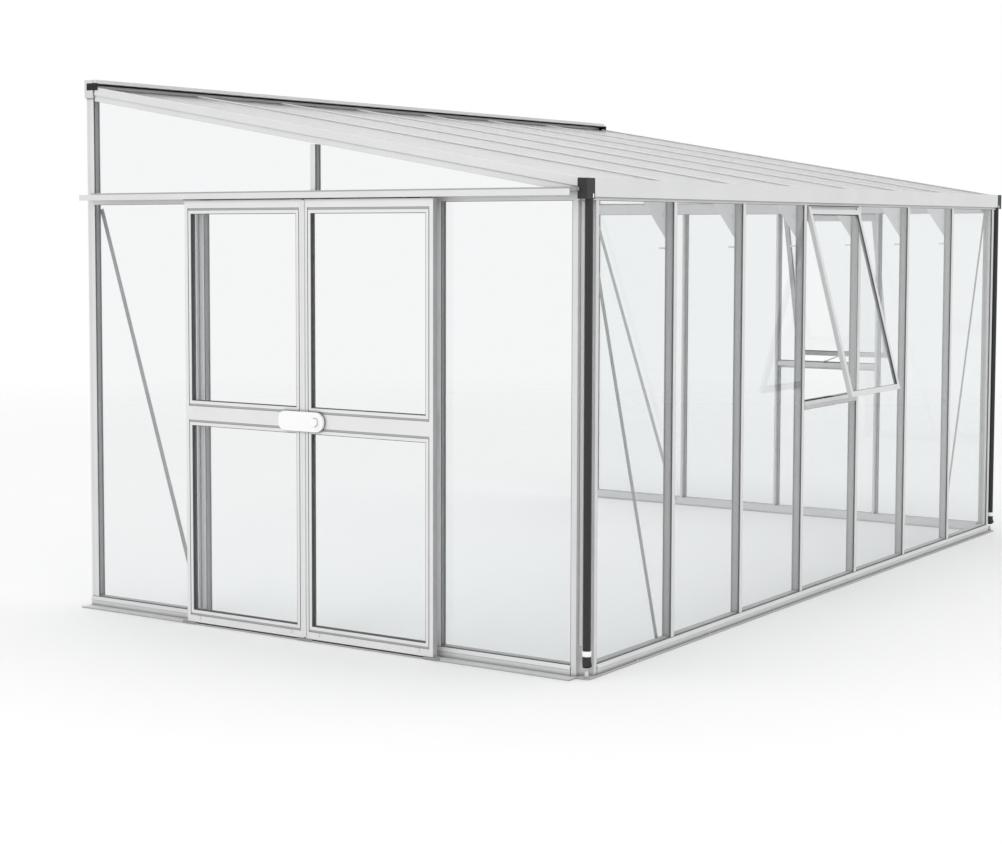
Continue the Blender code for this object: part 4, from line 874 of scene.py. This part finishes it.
guide_grey = plastic("guide_grey", (0.30, 0.30, 0.30), 0.6, 0.2)
guide = new_block(
    "door_guide_middle",
    (leaf_front - 0.0030, meeting_y - GUIDE_HALF, 0.0012),
    (leaf_front + 0.010, meeting_y + GUIDE_HALF, leaf_low.z - 0.0020),
)
edit(guide)
bevel_edges(lambda middle, way: abs(way.z) > 0.9, 0.003, 3)
pick_faces(lambda middle, normal: normal.z > 0.9)
bpy.ops.mesh.inset(thickness=0.002)
bpy.ops.transform.translate(value=(0, 0, 0.0006))
finish_piece(guide, guide_grey)
for side, sign in (("wall_side", 1), ("corner_side", -1)):
    copy_piece(guide, "door_guide_" + side, (0, sign * (leaf_step - 0.012), 0))
print("Meeting strip at", round(meeting_y - corner_y, 4), "from the eave")

# %% [markdown]
# Bolts are modelled once for each size and way that they look, at the origin: a short cylinder whose rim
# is bevelled and whose face is inset and pushed in for the socket. Each place below gets its own
# copy. One holds each gusset plate, and on every post a stud for a shelf sticks out at the top.

# %% Bolt heads
BOLT_RADIUS = 0.0052
BOLT_HEIGHT = 0.0032


def bolt_head(name, axis, sign, radius=BOLT_RADIUS, height=BOLT_HEIGHT):
    """Bolt head at the origin that looks along an axis."""
    turned = {"X": (0, sign * math.pi / 2, 0), "Y": (-sign * math.pi / 2, 0, 0), "Z": (0, 0, 0)}[axis]
    way = {"X": Vector((sign, 0, 0)), "Y": Vector((0, sign, 0)), "Z": Vector((0, 0, 1))}[axis]
    head = new_cylinder(name, 16, radius, height, way * (height / 2), turned)
    edit(head)
    pick_faces(lambda middle, normal: normal.dot(way) > 0.9)
    bpy.ops.mesh.bevel(offset=0.0010, segments=2, affect="EDGES")
    pick_faces(lambda middle, normal: normal.dot(way) > 0.99)
    bpy.ops.mesh.inset(thickness=0.0018)
    bpy.ops.transform.translate(value=way * -0.0014)
    return finish_piece(head, bolt_steel)


def place_bolts(head, places, body="frame"):
    """Copies of a bolt head at the places; the head itself moves to the first one."""
    for number, place in enumerate(places[1:], start=2):
        copy_piece(head, "%s_%d" % (head.name, number), place, body)
    head.data.transform(Matrix.Translation(places[0]))
    head.name = head.name + "_1"
    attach(head, body)


GUSSET_FACE = 0.0021
POST_BACK = 0.0446
FIRST_BAR = 0.0575
bay_lines = [FIRST_BAR + bay * number for number in range(1, 7)]
gusset_places = [at(line + GUSSET_FACE, 0.062, 1.786) for line in bay_lines]
place_bolts(bolt_head("gusset_bolt", "X", -1), gusset_places)
staging_places = [at(line, POST_BACK, 0.214) for line in bay_lines]
place_bolts(bolt_head("staging_bolt", "Y", 1), staging_places)
stud_places = [at(line, POST_BACK, 1.650) for line in bay_lines]
place_bolts(bolt_head("shelf_stud", "Y", 1, radius=0.0040, height=0.030), stud_places)
foot_places = [at(0.375 + bay * number, -0.0145, 0.0042) for number in range(7)]
place_bolts(bolt_head("foot_bolt", "Z", 1), foot_places)
leaf_screws = [Vector((leaf_front - AIR, leaf_low.y + offset, 0.034)) for offset in (0.070, 0.582)]
place_bolts(bolt_head("corner_side_leaf_screw", "X", -1), leaf_screws, "corner_side_leaf")
leaf_screws = [place + Vector((0, leaf_step, 0)) for place in leaf_screws]
place_bolts(bolt_head("wall_side_leaf_screw", "X", -1), leaf_screws, "wall_side_leaf")
print("Bolts:", sum(map(len, (gusset_places, staging_places, stud_places, foot_places))) + 2 * len(leaf_screws))

# %% [markdown]
# The end of the door header carries a small grey bracket, which bolts the rail to the corner. It is
# a block with its outer edges rounded and a shallow panel pressed into its face.

# %% Header bracket
header_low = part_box("door_header_rail")[0]
bracket = new_block("header_bracket", at(-0.0755, 0.014, 1.872), at(-0.050, 0.0398, 1.887))
edit(bracket)
bevel_edges(lambda middle, way: abs(way.x) > 0.9, 0.003, 3)
pick_faces(lambda middle, normal: normal.x < -0.9)
bpy.ops.mesh.inset(thickness=0.002)
bpy.ops.transform.translate(value=(0.001, 0, 0))
finish_piece(bracket, guide_grey)
print("Bracket beside the header, whose end is at", round(header_low.y - corner_y, 4))

# %% [markdown]
# A black brush hangs under the front lip of the header and closes the gap over the leaves; it shows
# as one even dark line, which also stands in for the shadow under the lip, as painted shade. It is a
# long block whose lower edges are bevelled to a blunt ridge. On the wall side jamb a narrow flange
# beside the bar carries the brush against which the leaf closes.

# %% Header brush and jamb flange
HEADER_LIP = 1.856
BRUSH_HEIGHT = 0.0032
# Partly painted shade: the brush's black also stands for the shadow under the header's lip.
brush = new_block(
    "header_brush",
    at(-0.0777, 0.672, HEADER_LIP - BRUSH_HEIGHT),
    at(-0.0752, 1.983, HEADER_LIP - 2 * AIR),
)
edit(brush)
bevel_edges(lambda middle, way: abs(way.y) > 0.9 and middle.z < HEADER_LIP - BRUSH_HEIGHT / 2, 0.0008, 2)
finish_piece(brush, rubber)
jamb_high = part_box("door_jamb_wall_side")[1]
flange = new_block(
    "jamb_flange",
    (corner_x - 0.0098, jamb_high.y + AIR, rail_top + 0.001),
    (corner_x - 0.0053, jamb_high.y + 0.015, header_under - 0.001),
)
edit(flange)
bevel_edges(lambda middle, way: abs(way.z) > 0.9 and middle.x < corner_x - 0.009, 0.0010, 2)
finish_piece(flange, jamb_aluminium)
print("Brush under", HEADER_LIP, "and a flange at", round(jamb_high.y - corner_y, 4))

# %% [markdown]
# In the notch of each corner post a pale strip behind the pipe is a painted highlight on the lit
# chamfer, and a packer plate lies on the post's top, under the gutter. The strip is a block with
# rounded front edges, turned by 45 degrees, and the packer is a plate with its top rim bevelled. Both
# are made at the door end and mirrored for the far end. A small white tab marks the eave side of each
# end cap.

# %% Highlight strips, packers and cap tabs
HIGHLIGHT_HALF = 0.0061
POST_TOP = 1.8381
# Painted highlight: a strip of bright metal laid over the chamfer in the notch.
highlight_middle = at(0.0206, 0.0392, 0)
rail = new_block(
    "pipe_rail_door_end",
    highlight_middle + Vector((-HIGHLIGHT_HALF, -0.0006, 0.120)),
    highlight_middle + Vector((HIGHLIGHT_HALF, 0.0006, 1.836)),
)
edit(rail)
bevel_edges(lambda middle, way: abs(way.z) > 0.9 and middle.y < highlight_middle.y, 0.0005, 2)
turn(-math.pi / 4, "Z", highlight_middle)
finish_piece(rail, bolt_steel)
packer = new_block("corner_packer_door_end", at(0.0165, 0.0165, POST_TOP), at(0.047, 0.047, POST_TOP + 0.0036))
edit(packer)
bevel_edges(lambda middle, way: middle.z > POST_TOP + 0.0035, 0.0006, 2)
finish_piece(packer, corner_aluminium)
tab = new_block(
    "cap_tab_door_end",
    (corner_x - 0.002, pipe_low.y - AIR - 0.0012, 1.846),
    (corner_x + 0.0055, pipe_low.y - AIR, 1.862),
)
edit(tab)
pick_faces(lambda middle, normal: normal.y < -0.9)
bpy.ops.mesh.inset(thickness=0.0015)
bpy.ops.transform.translate(value=(0, 0.0005, 0))
finish_piece(tab, latch_plastic)
for piece in (rail, packer, tab):
    mirrored_copy(piece, piece.name.replace("door_end", "far_end"), corner_x + length / 2)
print("Rail, packer and tab at both corners")

# %% [markdown]
# Both ends of the wall plate are closed by a thin pale cover, which is bevelled and dished a little,
# so that the hollow under the plate doesn't show.

# %% Wall plate end covers
cover = new_block(
    "plate_cover_door_end",
    (plate_low.x - AIR - 0.002, plate_low.y + 0.0185, plate_low.z + 0.0005),
    (plate_low.x - AIR, plate_high.y - 0.0005, plate_high.z - 0.0005),
)
edit(cover)
bevel_edges(lambda middle, way: abs(way.x) > 0.9, 0.002, 2)
pick_faces(lambda middle, normal: normal.x < -0.9)
bpy.ops.mesh.inset(thickness=0.0015)
bpy.ops.transform.translate(value=(-0.0008, 0, 0))
finish_piece(cover, corner_aluminium)
far_cover = mirrored_copy(cover, "plate_cover_far_end", plate_middle)
print("Covers:", cover.name, far_cover.name)

# %% [markdown]
# The vents hang from a line at the top of their opening and stand open by the same angle. Their
# panes have a black rubber ring too. The ring is made as if the vent were shut and then turned
# about its hinge line, as the vent itself is.

# %% Vent rubbers
VENT_ANGLE = math.radians(14.6)
VENT_BAR = 0.025
VENT_TOP_BAR = 0.042
VENT_FACE = -0.005
RING_NEAR = 0.0006
RING_FAR = 0.0078
VENT_CLEARANCE = 0.0025

eave_vent_low, eave_vent_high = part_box("eave_vent_frame")
far_vent_low, far_vent_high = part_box("far_vent_frame")
sill_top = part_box("eave_vent_sill")[1].z
eave_hinge = Vector((0, corner_y + VENT_FACE, eave_vent_high.z))
ring = rubber_ring(
    "eave_vent_rubber",
    (eave_vent_low.x + VENT_BAR, eave_hinge.y + RING_NEAR, sill_top + VENT_CLEARANCE + VENT_BAR),
    (eave_vent_high.x - VENT_BAR, eave_hinge.y + RING_FAR, eave_hinge.z - VENT_TOP_BAR),
    axis=1,
    finish=leaf_rubber,
)
edit(ring)
turn(-VENT_ANGLE, "X", eave_hinge)
bpy.ops.object.mode_set(mode="OBJECT")
reach = min(vertex.co.y for vertex in ring.data.vertices) - corner_y
print("Vent ring reaches out to", round(reach, 4))
far_hinge = Vector((far_x - VENT_FACE, 0, far_vent_high.z))
ring = rubber_ring(
    "far_vent_rubber",
    (far_hinge.x - RING_FAR, far_vent_low.y + VENT_BAR, sill_top + VENT_CLEARANCE + VENT_BAR),
    (far_hinge.x - RING_NEAR, far_vent_high.y - VENT_BAR, far_hinge.z - VENT_TOP_BAR),
    axis=0,
    finish=grey_rubber,
)
edit(ring)
turn(-VENT_ANGLE, "Y", far_hinge)
bpy.ops.object.mode_set(mode="OBJECT")
reach = max(vertex.co.x for vertex in ring.data.vertices) - corner_x
print("Far vent ring reaches out to", round(reach, 4))

# %% [markdown]
# A rubber lip lies along the top of each sill, where the vent closes on it: a block whose upper
# edges are bevelled, since only the rounded top shows.

# %% Sill lips
LIP_END = 0.001
LIP_NEAR = 0.0006
LIP_FAR = 0.0050
LIP_HEIGHT = 0.0065

sill_low, sill_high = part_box("eave_vent_sill")
lip = new_block(
    "eave_sill_lip",
    (sill_low.x + LIP_END, sill_low.y + LIP_NEAR, sill_top + AIR),
    (sill_high.x - LIP_END, sill_low.y + LIP_FAR, sill_top + LIP_HEIGHT),
)
edit(lip)
bevel_edges(lambda middle, way: abs(way.x) > 0.9 and middle.z > sill_top + LIP_FAR, 0.0015, 2)
finish_piece(lip, rubber)
far_sill_low, far_sill_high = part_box("far_vent_sill")
lip = new_block(
    "far_sill_lip",
    (far_sill_high.x - LIP_FAR, far_sill_low.y + LIP_END, sill_top + AIR),
    (far_sill_high.x - LIP_NEAR, far_sill_high.y - LIP_END, sill_top + LIP_HEIGHT),
)
edit(lip)
bevel_edges(lambda middle, way: abs(way.y) > 0.9 and middle.z > sill_top + LIP_FAR, 0.0015, 2)
finish_piece(lip, grey_rubber)
print("Sill lips: 2")

# %% [markdown]
# A grey strip over the lower half of the eave sill's front is painted shade, for the shadow on that
# half; along the top of the eave vent a rubber strip hides the hinge. The hinge strip is made as if
# the vent were shut, its front edges are bevelled, and it is then turned with the vent.

# %% Sill shade strip and hinge strip
STRIP_THICKNESS = 0.0012
# Painted shade: a grey strip for the shadow on the lower half of the sill's front.
sill_shade_strip = new_block(
    "eave_sill_bead",
    (sill_low.x + 0.002, sill_low.y - STRIP_THICKNESS, sill_low.z + 0.0010),
    (sill_high.x - 0.002, sill_low.y - AIR, sill_low.z + 0.0180),
)
edit(sill_shade_strip)
bevel_edges(lambda middle, way: abs(way.x) > 0.9 and middle.y < sill_low.y - STRIP_THICKNESS / 2, 0.0006, 2)
finish_piece(sill_shade_strip, pale_rubber)
hinge_strip = new_block(
    "eave_hinge_strip",
    (eave_vent_low.x + 0.004, eave_hinge.y - STRIP_THICKNESS, eave_hinge.z - 0.0052),
    (eave_vent_high.x - 0.004, eave_hinge.y - AIR, eave_hinge.z - 0.0004),
)
edit(hinge_strip)
bevel_edges(lambda middle, way: abs(way.x) > 0.9 and middle.y < eave_hinge.y - STRIP_THICKNESS / 2, 0.0005, 2)
turn(-VENT_ANGLE, "X", eave_hinge)
finish_piece(hinge_strip, leaf_rubber)
print("Sill front at", round(sill_low.y - corner_y, 4), "from", round(sill_low.z, 4))

# %% [markdown]
# A flat stay with two studs holds each vent open. It is made flat at the origin, where its ends are
# rounded by a bevel and its two studs are extruded from the end faces, and then set between its
# points by one matrix.

# %% Vent stays
STAY_WIDTH = 0.014
STAY_THICKNESS = 0.003
STAY_END = 0.020


def stay(name, foot, head, across):
    """Flat bar from foot to head with rounded ends and a stud at each end."""
    way = head - foot
    run = way.length
    bar = new_block(name, (-STAY_WIDTH / 2, 0, 0), (STAY_WIDTH / 2, run, STAY_THICKNESS))
    edit(bar)
    bevel_edges(lambda middle, direction: abs(direction.z) > 0.9, STAY_WIDTH * 0.45, 4)
    bpy.ops.mesh.select_all(action="SELECT")
    bpy.ops.mesh.bisect(plane_co=(0, STAY_END, 0), plane_no=(0, 1, 0))
    bpy.ops.mesh.select_all(action="SELECT")
    bpy.ops.mesh.bisect(plane_co=(0, run - STAY_END, 0), plane_no=(0, 1, 0))
    pick_faces(lambda middle, normal: normal.z > 0.9 and not 0.9 * STAY_END < middle.y < run - 0.9 * STAY_END)
    bpy.ops.mesh.inset(thickness=0.004, use_individual=True)
    bpy.ops.mesh.extrude_region_move(TRANSFORM_OT_translate={"value": (0, 0, 0.005)})
    bpy.ops.object.mode_set(mode="OBJECT")
    side = across.normalized()
    forward = way.normalized()
    upward = side.cross(forward)
    frame_of_bar = Matrix((side, forward, upward)).transposed().to_4x4()
    frame_of_bar.translation = foot
    bar.data.transform(frame_of_bar)
    return finish_piece(bar, corner_aluminium)


stay("eave_vent_stay", at(2.28, 0.030, 0.933), at(2.28, -0.196, 0.968), Vector((1, 0, 0)))
stay("far_vent_stay", at(4.530, 1.02, 0.933), at(4.752, 1.00, 0.966), Vector((0, -1, 0)))
print("Vent feet at", round(eave_vent_low.z, 4), round(far_vent_low.z, 4))

# %% [markdown]
# The latch is a white plate that turns on a round knob. A collar lies round the knob, and between
# them a grey ring is painted shadow, the knob's shadow on the plate. Both are cylinders opened into
# rings by insetting and bridging their ends, and the collar's rim is rounded.

# %% Latch collar
latch_low, latch_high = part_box("door_latch")
latch_y = latch_low.y + 0.041
latch_z = (latch_low.z + latch_high.z) / 2
PLATE_FRONT = latch_high.x - 0.012


def knob_ring(name, outer, inner, depth, material):
    """Ring round the latch's knob, lying on the plate."""
    place = (PLATE_FRONT - AIR - depth / 2, latch_y, latch_z)
    collar = new_cylinder(name, 48, outer, depth, place, (0, math.pi / 2, 0))
    edit(collar)
    pick_faces(lambda middle, normal: abs(normal.x) > 0.9)
    bpy.ops.mesh.inset(thickness=outer - inner)
    bpy.ops.mesh.bridge_edge_loops()
    front = PLATE_FRONT - AIR - depth
    bevel_edges(lambda middle, way: abs(middle.x - front) < 0.0001, depth * 0.3, 3)
    return finish_piece(collar, material, "latch")


knob_ring("latch_collar", 0.0265, 0.0192, 0.0030, latch_plastic)
# Painted shadow: a grey ring that stands for the knob's shadow on the plate.
knob_ring("latch_groove_ring", 0.0189, 0.0172, 0.0014, guide_grey)
print("Latch knob at", round(latch_y - corner_y, 4), round(latch_z, 4))
